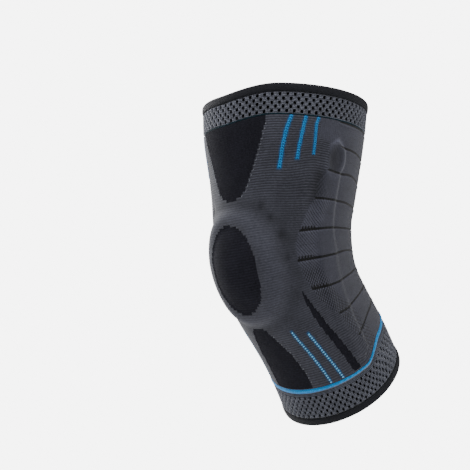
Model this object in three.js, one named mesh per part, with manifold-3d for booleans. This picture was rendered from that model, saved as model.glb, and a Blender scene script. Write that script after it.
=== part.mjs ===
import * as THREE from "three";
import { mergeVertices } from "three/addons/utils/BufferGeometryUtils.js";
import Module from "manifold-3d";

// A knitted knee brace in the shape it has on a bent leg: a seamless tube with a mesh cuff and a bound
// edge at each end, black panels knitted into its front, a gel ring round the kneecap, and a flat stay
// in a pocket down each side.
// Millimetres and degrees. +Z is up, the kneecap faces -Y, and +X is the wearer's left.
// The origin is the middle of the knee, on the leg's axis.

const wasm = await Module();
wasm.setup();

// Length and bend of the leg inside the brace
const aboveKnee = 143; // from the middle of the knee to the top edge, along the leg
const belowKnee = 137; // and to the bottom edge
const thighLean = 6; // how far the thigh leans back, going up
const calfLean = 34; // how far the lower leg leans back, going down
const bendLength = 95; // the length of leg that bends

// The leg's own section at the knee, without the kneecap
const kneeWidth = 116; // side to side
const kneeFront = 59.5; // from the leg's axis to the front
const kneeBack = 63; // from the leg's axis to the back

// The leg's sections, hand chosen. at is -1 at the bottom edge, 0 at the middle of the knee and 1 at the
// top edge. width, front and back are shares of kneeWidth, kneeFront and kneeBack.
const legSections = [
  { at: -1.0, width: 0.975, front: 0.94, back: 1.0 },
  { at: -0.69, width: 0.98, front: 0.84, back: 1.015 },
  { at: -0.39, width: 0.965, front: 0.865, back: 0.985 },
  { at: -0.14, width: 0.975, front: 0.95, back: 0.975 },
  { at: 0.06, width: 1.0, front: 1.0, back: 1.0 },
  { at: 0.26, width: 1.02, front: 0.99, back: 1.04 },
  { at: 0.51, width: 1.12, front: 1.05, back: 1.08 },
  { at: 0.76, width: 1.225, front: 1.16, back: 1.105 },
  { at: 1.0, width: 1.275, front: 1.19, back: 1.12 },
];

// Walls
const knitWall = 2; // the grey knit
const panelWall = 1.6; // the thinner black knit
const cuffWall = 2.3; // the mesh knit of the cuffs
const lineWall = 2.6; // the thick blue course above the bottom cuff
const bindingWall = 3; // the folded edge bindings
const coverWall = 0.9; // the knit on each side of a pocket
const gap = 0.3; // between neighbouring pieces

// Heights of the bands round the leg
const bindingHeight = 7;
const topCuffHeight = 19;
const bottomCuffHeight = 25.5;
const lineHeight = 4.2;
const lineRise = 11; // how far the blue line climbs towards the back of the calf
const riseStart = 78; // where it begins and stops climbing, round the leg from the front
const riseEnd = 108;
const topDip = 7; // how far the top edge sags over the front
const dipMiddle = -20; // where it sags most, round the leg from the front
const dipLevel = 12; // it is level this many degrees to each side of there
const dipEnd = 60; // and straight again past this many

// The kneecap window, the gel ring round it and the bulge of the kneecap
const windowWidth = 49;
const windowHeight = 77;
const windowCentre = 5; // above the middle of the knee
const windowSquareness = 2.2; // 2 is an ellipse
const ringWidth = 13; // above and below the window
const ringSpread = 1.45; // and this many times as wide beside it
const ringRise = 3.2; // how far the knit stands up over the ring
const ringInset = 0.1; // share of the ring's width by which the gel is narrower, on each side
const kneecapRise = 9;
const kneecapMargin = 12; // how far the bulge runs past the ring
const thighMargin = 8; // from the ring to the thigh panel
const shinMargin = 4; // and to the shin panel

// The black panels above and below the kneecap. height is a share of the panel's own height, from the
// kneecap end, and half a share of its greatest half width.
const thighPanelWidth = 79;
const thighPanelEdge = [
  { height: 0.0, half: 0.09 },
  { height: 0.03, half: 0.25 },
  { height: 0.12, half: 0.4 },
  { height: 0.35, half: 0.58 },
  { height: 0.53, half: 0.72 },
  { height: 0.71, half: 0.85 },
  { height: 0.88, half: 0.96 },
  { height: 1.0, half: 1.0 },
];
const shinPanelWidth = 43;
const shinPanelEdge = [
  { height: 0.0, half: 0.2 },
  { height: 0.04, half: 0.38 },
  { height: 0.12, half: 0.54 },
  { height: 0.25, half: 0.7 },
  { height: 0.42, half: 0.84 },
  { height: 0.7, half: 0.95 },
  { height: 1.0, half: 1.0 },
];

// The black slashes beside the shin, measured across the knit from the front
const slashLength = 86;
const slashWidth = 8;
const slashBottomAcross = 67;
const slashTopAcross = 52;
const slashEdge = [
  { height: 0.0, half: 1.0 },
  { height: 0.45, half: 0.88 },
  { height: 0.75, half: 0.7 },
  { height: 0.92, half: 0.35 },
  { height: 1.0, half: 0.12 },
];

// The stays, and the oval head that holds each one's top end
const stayTop = 97; // above the middle of the knee
const stayMargin = 9.4; // from its lower end to the bottom edge of the sleeve
const stayTopAngle = 85; // round the leg from the front
const stayBottomAngle = 80;
const stayWidth = 12;
const stayRise = 1.9; // how far the knit stands up over a stay
const stayHeadWidth = 18;
const stayHeadLength = 26;
const stayMouth = 9; // the length of the pocket's slot, on the inside at the lower end

// The knit raised over the ring and the stays
const raisedLevel = 1.5; // it stays level this far past a stay
const raisedFlank = 4; // and slopes down to its lip over this width
const raisedLip = 0.3; // how far the lip stands above the plain knit
const raisedRoot = 0.6; // how deep in the wall it starts

// How finely the surfaces are divided
const fineStep = 6; // degrees between columns at the front and sides
const coarseStep = 12; // and at the back
const fineTo = 102;
const sleeveRows = 16;
const rowCrowding = 0.07; // draws the rows together at the knee
const kneecapSteps = 30; // round the window and the ring
const stayRows = 15;
const prismReach = 25; // how far a cutting prism stands out on each side of the wall

const radians = THREE.MathUtils.degToRad;
const smoothstep = THREE.MathUtils.smoothstep;

// The leg's axis: straight, then round an arc at the knee, then straight
const bend = radians(thighLean + calfLean);
const middleTilt = radians(thighLean - calfLean) / 2;
const bendRadius = bendLength / bend;
const frontStretch = 1 + kneeFront / bendRadius; // the front is longer than the axis round the bend

function axisAt(along) {
  const inBend = THREE.MathUtils.clamp(along, -bendLength / 2, bendLength / 2);
  const tilt = middleTilt + inBend / bendRadius;
  const past = along - inBend;
  return {
    y: bendRadius * (Math.cos(middleTilt) - Math.cos(tilt)) + past * Math.sin(tilt),
    z: bendRadius * (Math.sin(tilt) - Math.sin(middleTilt)) + past * Math.cos(tilt),
    tilt,
  };
}

const sectionShares = new THREE.CubicInterpolant(
  legSections.map((row) => row.at),
  legSections.flatMap((row) => [row.width, row.front, row.back]),
  3,
);

function legAt(along) {
  const at = along > 0 ? along / aboveKnee : along / belowKnee;
  const [width, front, back] = sectionShares.evaluate(THREE.MathUtils.clamp(at, -1, 1));
  return { side: (kneeWidth / 2) * width, front: kneeFront * front, back: kneeBack * back };
}

// Distances across the knit from the front line, and angles round the leg
const acrossAt = (angle, along) => angle * legAt(along).side;
const angleAt = (across, along) => across / legAt(along).side;

// Half sizes of the window, the ring's outer edge and the kneecap's bulge, the height along the axis
const windowHalf = { across: windowWidth / 2, along: windowHeight / 2 / frontStretch };
const widened = (half, by) => ({
  across: half.across + by * ringSpread,
  along: half.along + by / frontStretch,
});
const ringHalf = widened(windowHalf, ringWidth);
const kneecapHalf = widened(ringHalf, kneecapMargin);

// 0 in the middle of the kneecap and 1 on an outline with the given half sizes
function fromKneecap(across, along, half) {
  const aside = Math.abs(across / half.across) ** windowSquareness;
  const above = Math.abs((along - windowCentre) / half.along) ** windowSquareness;
  return (aside + above) ** (1 / windowSquareness);
}

// Points round the kneecap, on the window's outline or that far outside it, as [across, along]
function kneecapOutline(grow) {
  const half = widened(windowHalf, grow);
  const squared = (value) => Math.sign(value) * Math.abs(value) ** (2 / windowSquareness);
  return Array.from({ length: kneecapSteps }, (_, i) => {
    const turn = (i / kneecapSteps) * 2 * Math.PI;
    return [
      half.across * squared(Math.cos(turn)),
      windowCentre + half.along * squared(Math.sin(turn)),
    ];
  });
}

function kneecapBulge(angle, along) {
  const away = fromKneecap(acrossAt(angle, along), along, kneecapHalf);
  return kneecapRise * (1 - smoothstep(away, 0, 1));
}

// A point on the leg, or out from it
function place(angle, along, out) {
  const { side, front, back } = legAt(along);
  const { y, z, tilt } = axisAt(along);
  const lift = out + kneecapBulge(angle, along);
  const depth = Math.cos(angle) > 0 ? front : back;
  const backwards = -(depth + lift) * Math.cos(angle);
  return [
    (side + lift) * Math.sin(angle),
    y + backwards * Math.cos(tilt),
    z - backwards * Math.sin(tilt),
  ];
}

// The stay's middle line at a height
function stayAngle(along) {
  const share = (along - stayBottom) / (stayTop - stayBottom);
  return radians(THREE.MathUtils.lerp(stayBottomAngle, stayTopAngle, share));
}

// Half the width of the stay's pocket at a height, or of an outline that far outside it
function stayHalfWidth(along, grow) {
  const half = stayWidth / 2 + grow;
  const fromEnd = THREE.MathUtils.clamp(along - stayBottom + grow, 0, half);
  const bar = Math.sqrt(half ** 2 - (half - fromEnd) ** 2);
  const headHalf = stayHeadLength / 2;
  const up = (along - stayTop + headHalf) / (headHalf + grow);
  const head = (stayHeadWidth / 2 + grow) * Math.sqrt(Math.max(1 - up ** 2, 0));
  return up > 0 ? head : Math.max(bar, head);
}

// Edges of the bands, along the leg. The top ones sag at the front. The blue line and what meets it
// climb at the back.
const sleeveTop = aboveKnee - bindingHeight - topCuffHeight - 2 * gap;
const climb = (angle) =>
  lineRise * smoothstep(Math.abs(angle), radians(riseStart), radians(riseEnd));
function sag(angle) {
  const away = Math.abs(angle - radians(dipMiddle));
  return topDip * (1 - smoothstep(away, radians(dipLevel), radians(dipEnd)));
}
const bottomCuffTop = -belowKnee + bindingHeight + gap + bottomCuffHeight;
const sleeveBottom = bottomCuffTop + lineHeight + 2 * gap;
const stayBottom = sleeveBottom + stayMargin;

function solidOf(positions, index) {
  const geometry = new THREE.BufferGeometry();
  geometry.setAttribute("position", new THREE.Float32BufferAttribute(positions, 3));
  geometry.setIndex(index);
  const merged = mergeVertices(geometry, 1e-4);
  const mesh = { numProp: 3, vertProperties: merged.attributes.position.array };
  mesh.triVerts = new Uint32Array(merged.index.array);
  return new wasm.Manifold(new wasm.Mesh(mesh));
}

function columnAngles() {
  const angles = [];
  let degrees = -180;
  while (degrees < 180) {
    angles.push(radians(degrees));
    degrees += degrees >= -fineTo && degrees < fineTo ? fineStep : coarseStep;
  }
  return angles;
}

const columns = columnAngles();

// Joins rings of points, each ring to the next. A closed set joins its last ring to its first, and an
// open one is capped at both ends.
function loft(rings, closed) {
  const size = rings[0].length;
  const index = [];
  const last = closed ? rings.length : rings.length - 1;
  for (let r = 0; r < last; r++) {
    const here = r * size;
    const next = ((r + 1) % rings.length) * size;
    for (let i = 0; i < size; i++) {
      const j = (i + 1) % size;
      index.push(here + i, next + j, next + i, here + i, here + j, next + j);
    }
  }
  const endCap = (rings.length - 1) * size;
  for (let i = 1; !closed && i < size - 1; i++)
    index.push(0, i + 1, i, endCap, endCap + i, endCap + i + 1);
  return solidOf(rings.flat(2), index);
}

// A band round the leg. section(angle) lists its corners as [along, out], up the inside and down the outside.
const bandAround = (section) =>
  loft(
    columns.map((angle) => section(angle).map(([along, out]) => place(angle, along, out))),
    true,
  );

// A plain wall of the sleeve, from its bottom edge to its top edge
function sleeveTube(wall) {
  return bandAround((angle) => {
    const bottom = sleeveBottom + climb(angle);
    const top = sleeveTop - sag(angle);
    const row = (i) => {
      const even = i / sleeveRows;
      const share = even + rowCrowding * Math.sin(2 * Math.PI * even);
      return THREE.MathUtils.lerp(bottom, top, share);
    };
    const rows = Array.from({ length: sleeveRows + 1 }, (_, i) => row(i));
    const face = (out) => rows.map((along) => [along, out]);
    return [...face(0), ...face(wall).reverse()];
  });
}

// A prism through the wall, with an outline of [across, along] points
function prism(outline) {
  const shape = outline.map(([across, along]) => new THREE.Vector2(across, along));
  if (THREE.ShapeUtils.isClockWise(shape)) shape.reverse();
  const corners = (out) => shape.flatMap(({ x, y }) => place(angleAt(x, y), y, out));
  const count = shape.length;
  const index = [];
  for (let i = 0; i < count; i++) {
    const j = (i + 1) % count;
    index.push(i, count + j, count + i, i, j, count + j);
  }
  for (const [a, b, c] of THREE.ShapeUtils.triangulateShape(shape, []))
    index.push(a, c, b, count + a, count + b, count + c);
  return solidOf([...corners(-prismReach), ...corners(prismReach)], index);
}

// A panel whose edges run from its kneecap end to far, which lies past the sleeve's edge
function panelOutline(edge, width, near, far, grow) {
  const outwards = Math.sign(far - near);
  const right = edge.map(({ height, half }) => [
    (width / 2) * half + grow,
    THREE.MathUtils.lerp(near, far, height) - (height === 0 ? grow * outwards : 0),
  ]);
  right.push([width / 2 + grow, far + outwards * bindingHeight]);
  const left = right.map(([across, along]) => [-across, along]).reverse();
  return [...right, ...left];
}

const thighOutline = (grow) => {
  const near = windowCentre + ringHalf.along + thighMargin / frontStretch;
  return panelOutline(thighPanelEdge, thighPanelWidth, near, sleeveTop, grow);
};

const shinOutline = (grow) => {
  const near = windowCentre - ringHalf.along - shinMargin / frontStretch;
  return panelOutline(shinPanelEdge, shinPanelWidth, near, sleeveBottom, grow);
};

// A wedge that is widest at the sleeve's bottom edge and comes to a blunt point. side is 1 or -1.
function slashOutline(side, grow) {
  const top = sleeveBottom + slashLength;
  const edge = slashEdge.map(({ height, half }) => ({
    middle: THREE.MathUtils.lerp(slashBottomAcross, slashTopAcross, height),
    half: (slashWidth / 2) * half + grow,
    along: THREE.MathUtils.lerp(sleeveBottom, top, height) + (height === 1 ? grow : 0),
  }));
  edge.unshift({ ...edge[0], along: sleeveBottom - lineHeight });
  const outer = edge.map(({ middle, half, along }) => [side * (middle + half), along]);
  const inner = edge.map(({ middle, half, along }) => [side * (middle - half), along]);
  return [...outer, ...inner.reverse()];
}

const hump = (share) => (share > 0 && share < 1 ? (1 - Math.cos(2 * Math.PI * share)) / 2 : 0);

// A ring round the kneecap. section lists its corners as [share, out], outwards over its crown and back
// along its floor. share is 0 at the window's edge and 1 at the ring's outer edge.
function roundKneecap(section) {
  const outlines = section.map(([share, out]) =>
    kneecapOutline(ringWidth * share).map(([across, along]) =>
      place(angleAt(across, along), along, out),
    ),
  );
  return loft(
    outlines[0].map((_, i) => outlines.map((outline) => outline[i])),
    true,
  );
}

// The gel ring, or with grow its pocket. Its flat side lies on the skin, and the knit covers its crown.
function gelRing(grow) {
  const margin = grow / ringWidth;
  const spread = (share) =>
    THREE.MathUtils.lerp(ringInset - margin, 1 - ringInset + margin, share);
  const top = knitWall - coverWall - gap + grow;
  const floor = grow > 0 ? -coverWall : 0;
  const crown = (share) => [spread(share), top + ringRise * hump(spread(share))];
  return roundKneecap([
    ...[0, 0.25, 0.5, 0.75, 1].map(crown),
    ...[1, 0.5, 0].map((share) => [spread(share), floor]),
  ]);
}

// The knit raised over the ring
function ringCover() {
  const flank = raisedFlank / ringWidth;
  const ends = { inner: -flank / 2, outer: 1 + flank };
  const crown = (share) => [share, knitWall + Math.max(ringRise * hump(share), raisedLip)];
  return roundKneecap([
    [ends.inner, raisedRoot],
    [ends.inner, knitWall + raisedLip],
    ...[0.05, 0.27, 0.5, 0.73, 0.95].map(crown),
    [ends.outer - flank / 8, knitWall + raisedLip],
    ...[ends.outer, 0.85, 0.35].map((share) => [share, raisedRoot]),
  ]);
}

// Heights from end to end of the stay's pocket, or of an outline that far outside it, close at the ends
const stayHeights = (grow) =>
  Array.from({ length: stayRows + 1 }, (_, i) => {
    const share = (1 - Math.cos((Math.PI * i) / stayRows)) / 2;
    return THREE.MathUtils.lerp(stayBottom - grow, stayTop + grow, share);
  });

// A bar along a stay on one side of the leg. section(along) lists its corners as [aside, out],
// backwards over its outer face and forwards over its inner one.
function barAlong(side, heights, section) {
  const rings = heights.map((along) => {
    const corners = section(along).map(([aside, out]) =>
      place(side * (stayAngle(along) + aside / legAt(along).side), along, out),
    );
    return side > 0 ? corners : corners.reverse();
  });
  return loft(rings, false);
}

function flatBar(side, heights, inner, outer, grow) {
  return barAlong(side, heights, (along) => {
    const half = Math.max(stayHalfWidth(along, grow), gap);
    return [
      ...[-1, 0, 1].map((share) => [share * half, outer]),
      ...[1, 0, -1].map((share) => [share * half, inner]),
    ];
  });
}

const stayInner = coverWall + gap;
const stayOuter = knitWall + stayRise - coverWall - gap;
const stay = (side) => flatBar(side, stayHeights(-gap), stayInner, stayOuter, -gap);

// The closed pocket of a stay, with a slot to the inside at its lower end
function stayPocket(side) {
  const pocket = flatBar(side, stayHeights(0), stayInner - gap, stayOuter + gap, 0);
  const mouth = [0, 0.5, 1].map((share) => stayBottom + stayMouth * share);
  return pocket.add(flatBar(side, mouth, -coverWall, stayOuter, 0));
}

// The knit raised over a stay
function stayCover(side) {
  const edge = raisedLevel + raisedFlank;
  return barAlong(side, stayHeights(edge), (along) => {
    const level = stayHalfWidth(along, raisedLevel);
    const outer = Math.max(stayHalfWidth(along, edge), level + 2 * raisedLip);
    const crest = knitWall + (level > 0 ? stayRise : raisedLip);
    return [
      [-outer, raisedRoot],
      [-outer + raisedLip, knitWall + raisedLip],
      ...[-1, 0, 1].map((share) => [Math.max(level, raisedLip) * share, crest]),
      [outer - raisedLip, knitWall + raisedLip],
      ...[1, 0.5, 0, -0.5].map((share) => [outer * share, raisedRoot]),
    ];
  });
}

function knitSleeve() {
  const raised = [ringCover(), stayCover(-1), stayCover(1)];
  const cuts = [thighOutline(gap), kneecapOutline(gap), shinOutline(gap)].map(prism);
  cuts.push(gelRing(gap));
  for (const side of [-1, 1]) cuts.push(prism(slashOutline(side, gap)), stayPocket(side));
  const whole = raised.reduce((sleeve, part) => sleeve.add(part), sleeveTube(knitWall));
  return cuts.reduce((sleeve, cut) => sleeve.subtract(cut), whole);
}

const blackPanel = (outline) => sleeveTube(panelWall).intersect(prism(outline));

// A flat band between two edges, slightly proud in the middle
function cuff(bottomAt, topAt) {
  return bandAround((angle) => {
    const bottom = bottomAt(angle);
    const top = topAt(angle);
    const middle = (bottom + top) / 2;
    const edge = cuffWall - gap;
    return [
      [bottom, 0],
      [top, 0],
      [top, edge],
      [middle, cuffWall],
      [bottom, edge],
    ];
  });
}

const topCuff = () =>
  cuff(
    (angle) => sleeveTop + gap - sag(angle),
    (angle) => sleeveTop + gap + topCuffHeight - sag(angle),
  );

const bottomCuff = () =>
  cuff(
    () => -belowKnee + bindingHeight + gap,
    (angle) => bottomCuffTop + climb(angle),
  );

function blueLine() {
  const shoulder = lineHeight / 4;
  return bandAround((angle) => {
    const bottom = bottomCuffTop + gap + climb(angle);
    const top = bottom + lineHeight;
    return [
      [bottom, 0],
      [top, 0],
      [top, knitWall],
      [top - shoulder, lineWall],
      [bottom + shoulder, lineWall],
      [bottom, knitWall],
    ];
  });
}

// A folded binding with a round outer edge, on from its bottom edge
function binding(bottomAt) {
  const round = bindingHeight / 4;
  return bandAround((angle) => {
    const bottom = bottomAt(angle);
    const top = bottom + bindingHeight;
    return [
      [bottom, 0],
      [top, 0],
      [top, bindingWall * 0.55],
      [top - round, bindingWall],
      [bottom + round, bindingWall],
      [bottom, bindingWall * 0.55],
    ];
  });
}

function geometryOf(solid) {
  const { numProp, vertProperties, triVerts } = solid.getMesh();
  const geometry = new THREE.BufferGeometry();
  const positions = new THREE.BufferAttribute(new Float32Array(vertProperties), numProp);
  geometry.setAttribute("position", positions);
  geometry.setIndex(new THREE.BufferAttribute(new Uint32Array(triVerts), 1));
  geometry.computeVertexNormals();
  return geometry;
}

const finish = (color, roughness, metalness = 0) =>
  new THREE.MeshStandardMaterial({ color, roughness, metalness });

const finishes = {
  greyKnit: finish("#4b4c54", 0.9),
  meshKnit: finish("#54555d", 0.9),
  blackKnit: finish("#1d1d21", 0.92),
  binding: finish("#17171a", 0.8),
  blueYarn: finish("#2491cf", 0.8),
  gel: finish("#3b3d42", 0.45),
  steel: finish("#9b9da1", 0.35, 1),
};

const brace = new THREE.Group();

function add(name, solid, material) {
  const mesh = new THREE.Mesh(geometryOf(solid), material);
  mesh.name = name;
  brace.add(mesh);
}

add(
  "top_binding",
  binding((angle) => aboveKnee - bindingHeight - sag(angle)),
  finishes.binding,
);
add("top_cuff", topCuff(), finishes.meshKnit);
add("knit_sleeve", knitSleeve(), finishes.greyKnit);
add("thigh_panel", blackPanel(thighOutline(0)), finishes.blackKnit);
add("kneecap_panel", blackPanel(kneecapOutline(0)).subtract(gelRing(gap)), finishes.blackKnit);
add("shin_panel", blackPanel(shinOutline(0)), finishes.blackKnit);
add("kneecap_ring", gelRing(0), finishes.gel);
for (const [name, side] of [
  ["left", 1],
  ["right", -1],
]) {
  add(`slash_${name}`, blackPanel(slashOutline(side, 0)), finishes.blackKnit);
  add(`stay_${name}`, stay(side), finishes.steel);
}
add("blue_line", blueLine(), finishes.blueYarn);
add("bottom_cuff", bottomCuff(), finishes.meshKnit);
add(
  "bottom_binding",
  binding(() => -belowKnee),
  finishes.binding,
);

export default brace;
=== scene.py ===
import math

import bmesh
import bpy
import numpy as np
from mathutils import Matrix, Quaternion, Vector


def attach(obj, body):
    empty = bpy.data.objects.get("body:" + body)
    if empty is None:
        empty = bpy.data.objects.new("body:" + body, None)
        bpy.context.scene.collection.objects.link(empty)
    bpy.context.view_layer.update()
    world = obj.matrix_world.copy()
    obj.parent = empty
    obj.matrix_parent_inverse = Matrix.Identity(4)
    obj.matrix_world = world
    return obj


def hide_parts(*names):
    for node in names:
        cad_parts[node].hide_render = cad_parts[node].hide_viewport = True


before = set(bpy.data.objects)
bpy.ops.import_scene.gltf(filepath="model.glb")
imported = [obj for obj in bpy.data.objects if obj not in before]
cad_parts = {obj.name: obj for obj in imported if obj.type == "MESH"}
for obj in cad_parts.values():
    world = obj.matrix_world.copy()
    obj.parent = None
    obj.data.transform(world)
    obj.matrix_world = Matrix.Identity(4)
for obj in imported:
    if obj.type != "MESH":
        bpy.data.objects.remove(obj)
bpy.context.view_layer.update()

# A knitted knee brace, in the bent shape that it has in use. Sizes are in millimetres and degrees, as the
# solids have them, and meshes are in metres. +Z is up, the kneecap window faces -Y, and angles are taken
# round from there towards +X. The surfaces of the solids are worked out again here, from the same sizes.
MM = 0.001

# Length and bend of the hollow inside the brace
ABOVE_KNEE = 143.0
BELOW_KNEE = 137.0
THIGH_LEAN = 6.0
CALF_LEAN = 34.0
BEND_LENGTH = 95.0
KNEE_WIDTH = 116.0
KNEE_FRONT = 59.5
KNEE_BACK = 63.0

# The hollow's sections. The first number is -1 at the bottom edge, 0 at the bend and 1 at the top edge, and
# the others are shares of KNEE_WIDTH, KNEE_FRONT and KNEE_BACK.
HOLLOW_SECTIONS = np.array([
    (-1.0, 0.975, 0.94, 1.0),
    (-0.69, 0.98, 0.84, 1.015),
    (-0.39, 0.965, 0.865, 0.985),
    (-0.14, 0.975, 0.95, 0.975),
    (0.06, 1.0, 1.0, 1.0),
    (0.26, 1.02, 0.99, 1.04),
    (0.51, 1.12, 1.05, 1.08),
    (0.76, 1.225, 1.16, 1.105),
    (1.0, 1.275, 1.19, 1.12),
])

# Walls, and the heights of the bands
KNIT_WALL = 2.0
PANEL_WALL = 1.6
CUFF_WALL = 2.3
LINE_WALL = 2.6
BINDING_WALL = 3.0
BINDING_INSIDE = -0.25
COVER_WALL = 0.9
GAP = 0.3
BINDING_HEIGHT = 7.0
TOP_CUFF_HEIGHT = 19.0
BOTTOM_CUFF_HEIGHT = 25.5
LINE_HEIGHT = 4.2

# The blue line: how far it climbs towards the back and where, how thick its shoulders are, and the share
# of its height between them at each angle
LINE_RISE = 11.0
LINE_SHOULDER = 1.7
RISE_START = 78.0
RISE_END = 108.0
LINE_THINS = (
    (0.0, 15.0, 35.0, 60.0, 80.0, 98.0, 180.0),
    (1.0, 0.95, 0.75, 0.6, 0.5, 0.85, 0.85),
)

# The sag of the top edge: its depth, where it is deepest, how far it stays level and where it ends
TOP_DIP = 7.0
DIP_MIDDLE = -20.0
DIP_LEVEL = 12.0
DIP_END = 60.0

# The kneecap window and the gel ring
WINDOW_WIDTH = 49.0
WINDOW_HEIGHT = 77.0
WINDOW_CENTRE = 5.0
WINDOW_SQUARENESS = 2.2
RING_WIDTH = 13.0
RING_SPREAD = 1.45
RING_RISE = 3.2
RING_INSET = 0.1
GEL_FLANK = 0.8
GEL_FLOOR = 0.05
KNEECAP_RISE = 9.0
KNEECAP_MARGIN = 12.0
THIGH_MARGIN = 8.0
SHIN_MARGIN = 4.0

# The black panels and slashes: height along the piece, and half its width there, as shares
THIGH_PANEL_WIDTH = 79.0
THIGH_PANEL_EDGE = np.array([
    (0.0, 0.09),
    (0.03, 0.25),
    (0.12, 0.4),
    (0.35, 0.58),
    (0.53, 0.72),
    (0.71, 0.85),
    (0.88, 0.96),
    (1.0, 1.0),
])
SHIN_PANEL_WIDTH = 43.0
SHIN_PANEL_EDGE = np.array([
    (0.0, 0.2),
    (0.04, 0.38),
    (0.12, 0.54),
    (0.25, 0.7),
    (0.42, 0.84),
    (0.7, 0.95),
    (1.0, 1.0),
])
SLASH_LENGTH = 86.0
SLASH_WIDTH = 8.0
SLASH_BOTTOM_ACROSS = 67.0
SLASH_TOP_ACROSS = 52.0
SLASH_EDGE = np.array([
    (0.0, 1.0),
    (0.45, 0.88),
    (0.75, 0.7),
    (0.92, 0.35),
    (1.0, 0.12),
])

# The stays
STAY_TOP = 97.0
STAY_BOTTOM = -90.0
STAY_TOP_ANGLE = 85.0
STAY_BOTTOM_ANGLE = 80.0
STAY_WIDTH = 12.0
STAY_RISE = 1.9
STAY_HEAD_WIDTH = 18.0
STAY_HEAD_LENGTH = 26.0
STAY_MOUTH = 9.0
STAY_SLOPE = 7.0
STAY_CRISP_SLOPE = 4.0
STAY_MOUTH_DEPTH = 1.35
HEAD_DISH = 1.1

# The knit: its rows of ribs, its columns of stitches in degrees, and the width of its openwork
RIB_PITCH = 2.3
RIB_SPREAD = 0.12
RIB_DEPTH = 0.34
RIB_DRIFT = 4.0
WINDOW_RIBS = 0.6
PANEL_RIBS = 0.2
FINE_COLUMN = 1.25
FINE_REACH = 100.0
COARSE_COLUMNS = 50
OPENWORK_WIDTH = 20.0

# Stitches laid on the knit: lean in radians, width, length and height, and how far they sink into it. The
# width in a full stripe and the length in a dotted one are shares of the stripe's width.
STRIPE_STITCH = (0.55, 0.42, 2.6, 1.0)
DOT_STITCH = (0.95, 1.8, 0.88, 0.95)
EDGE_STITCH = (0.5, 0.9, 2.0, 0.7)
STITCH_SINK = 0.12

# The cuffs: tiles of net round them, rows of faces inside, and how far they reach past their neighbours
TOP_TILES = 72
BOTTOM_TILES = 62
INSIDE_ROWS = 8
TUCK = 1.5
SEAM = 0.35

# Rings of a tile of net, from its border to the floor of its hole: the reach, as a share of the hole's, and
# the height, as a share of the wall. The border keeps the tile's own outline.
TILE_RINGS = ((None, 0.62), (1.55, 0.96), (1.0, 0.6), (0.92, 0.2))
NET_EDGE = 0.62

# The grey knit laid open, with the black panels cut out of its area
FLAT_GIRTH = 400.0

# Colours, as web codes
# The front's grey, lit on the rib crests and shaded in the grooves: painted highlight and painted shade
FRONT_LIT_CREST = "4b4c57"
FRONT_SHADED_GROOVE = "2a2b31"
UNDER_STRIPE = "11588a"
SIDE_GREY = "3f404b"
OPENWORK_BLACK = "0c0d10"
COURSE_BLACK = "060608"
PANEL_BLACK = "1f1f26"
# Lighter blacks for the rib crests of the panels and the window: painted highlights
PANEL_LIT_CREST = "292931"
WINDOW_LIT_CREST = "2c2c35"
LINING_GREY = "232329"
BINDING_BLACK = "1e1f25"
# The cuff's grey, lit on its strands and shaded between them: painted highlight and painted shade
CUFF_LIT_STRAND = "7a7d8a"
CUFF_SHADED_GAP = "27282e"
HOLE_BLACK = "050607"
TEAL = "12323f"
BLUE = "1b93dc"
STRIPE_BLUES = ("0d66a6", "2b9de4")
DOT_BLUES = ("4fb0ea", "9ad8f8")
PALE_GREYS = ("56575f", "787a85")
GEL_GREYS = ("33363c", "43464e")
STEEL_GREYS = ("8a8d92", "b4b7bb")

# Camera: degrees round from the front, up and rolled, then its lens, shifts and distance in metres
CAMERA_TURN = 44.0
CAMERA_RISE = -1.0
CAMERA_ROLL = -2.0
CAMERA_LENS = 72.3
CAMERA_SHIFT = (-0.107, 0.057)
CAMERA_DISTANCE = 0.85

# Light: how bright the backdrop looks, how much it lights, and each soft box's name, place in metres, size
# and power. The floor's height is in metres too.
FLOOR_HEIGHT = -0.34
BACKDROP = 6.5
ROOM_LIGHT = 0.3
LIGHTS = (
    ("left_softbox", (-0.95, 0.0, 0.35), (0.5, 1.2), 12),
    ("right_softbox", (1.0, 0.5, 0.7), (0.6, 1.0), 6),
    ("high_softbox", (0.05, -0.65, 1.2), (0.7, 0.7), 14),
)

# Where the ribs end and the smooth side begins: along, angle
SIDE_EDGE = np.array([
    (-95.0, 87.0),
    (-72.0, 83.6),
    (-66.0, 80.0),
    (-55.0, 77.9),
    (-43.0, 75.7),
    (-39.0, 72.0),
    (-32.0, 67.9),
    (-24.0, 63.6),
    (-15.0, 61.4),
    (-8.0, 57.9),
    (0.0, 56.4),
    (7.0, 55.0),
    (20.0, 55.7),
    (27.0, 59.0),
    (34.0, 62.9),
    (41.0, 65.7),
    (50.0, 71.0),
    (66.0, 72.0),
    (74.0, 77.0),
    (97.0, 77.0),
    (100.5, 69.0),
    (120.0, 68.0),
])

# The black courses round the side and back: the angle where each starts, and its place along the brace
# there, at 90 degrees or 7 past the start if that is more, and at 105, 120, 140 and 180 degrees
COURSES = (
    (85.0, 116.0, 115.8, 115.6, 115.2, 115.4, 115.6),
    (88.5, 95.2, 95.0, 94.6, 92.8, 92.8, 94.0),
    (79.0, 74.4, 73.2, 74.6, 72.0, 72.2, 73.0),
    (70.6, 50.1, 50.6, 51.0, 50.0, 51.2, 52.5),
    (58.0, 26.5, 27.4, 26.6, 25.0, 22.6, 18.0),
    (55.5, 6.6, 5.0, 4.2, 0.4, -4.3, -16.0),
    (61.5, -15.6, -19.2, -20.3, -22.8, -29.8, -45.0),
    (76.4, -42.6, -44.6, -46.0, -49.0, -54.8, -64.0),
    (83.4, -71.4, -71.0, -67.1, -67.2, -71.0, -80.0),
)

# Half the width of a course, the depth of its groove, the height and reach of the ridge below it, and the
# size of its teeth
COURSE_HALF = 0.95
COURSE_DEPTH = 0.4
RIDGE_HEIGHT = 0.3
RIDGE_REACH = 2.5
TOOTH_WIDTH = 1.4
TOOTH_LENGTH = 1.6

# Courses that start between these places begin with a comb of teeth, this many degrees long
COMBED = (-20.0, 30.0)
COMB_REACH = 15.0

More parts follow.
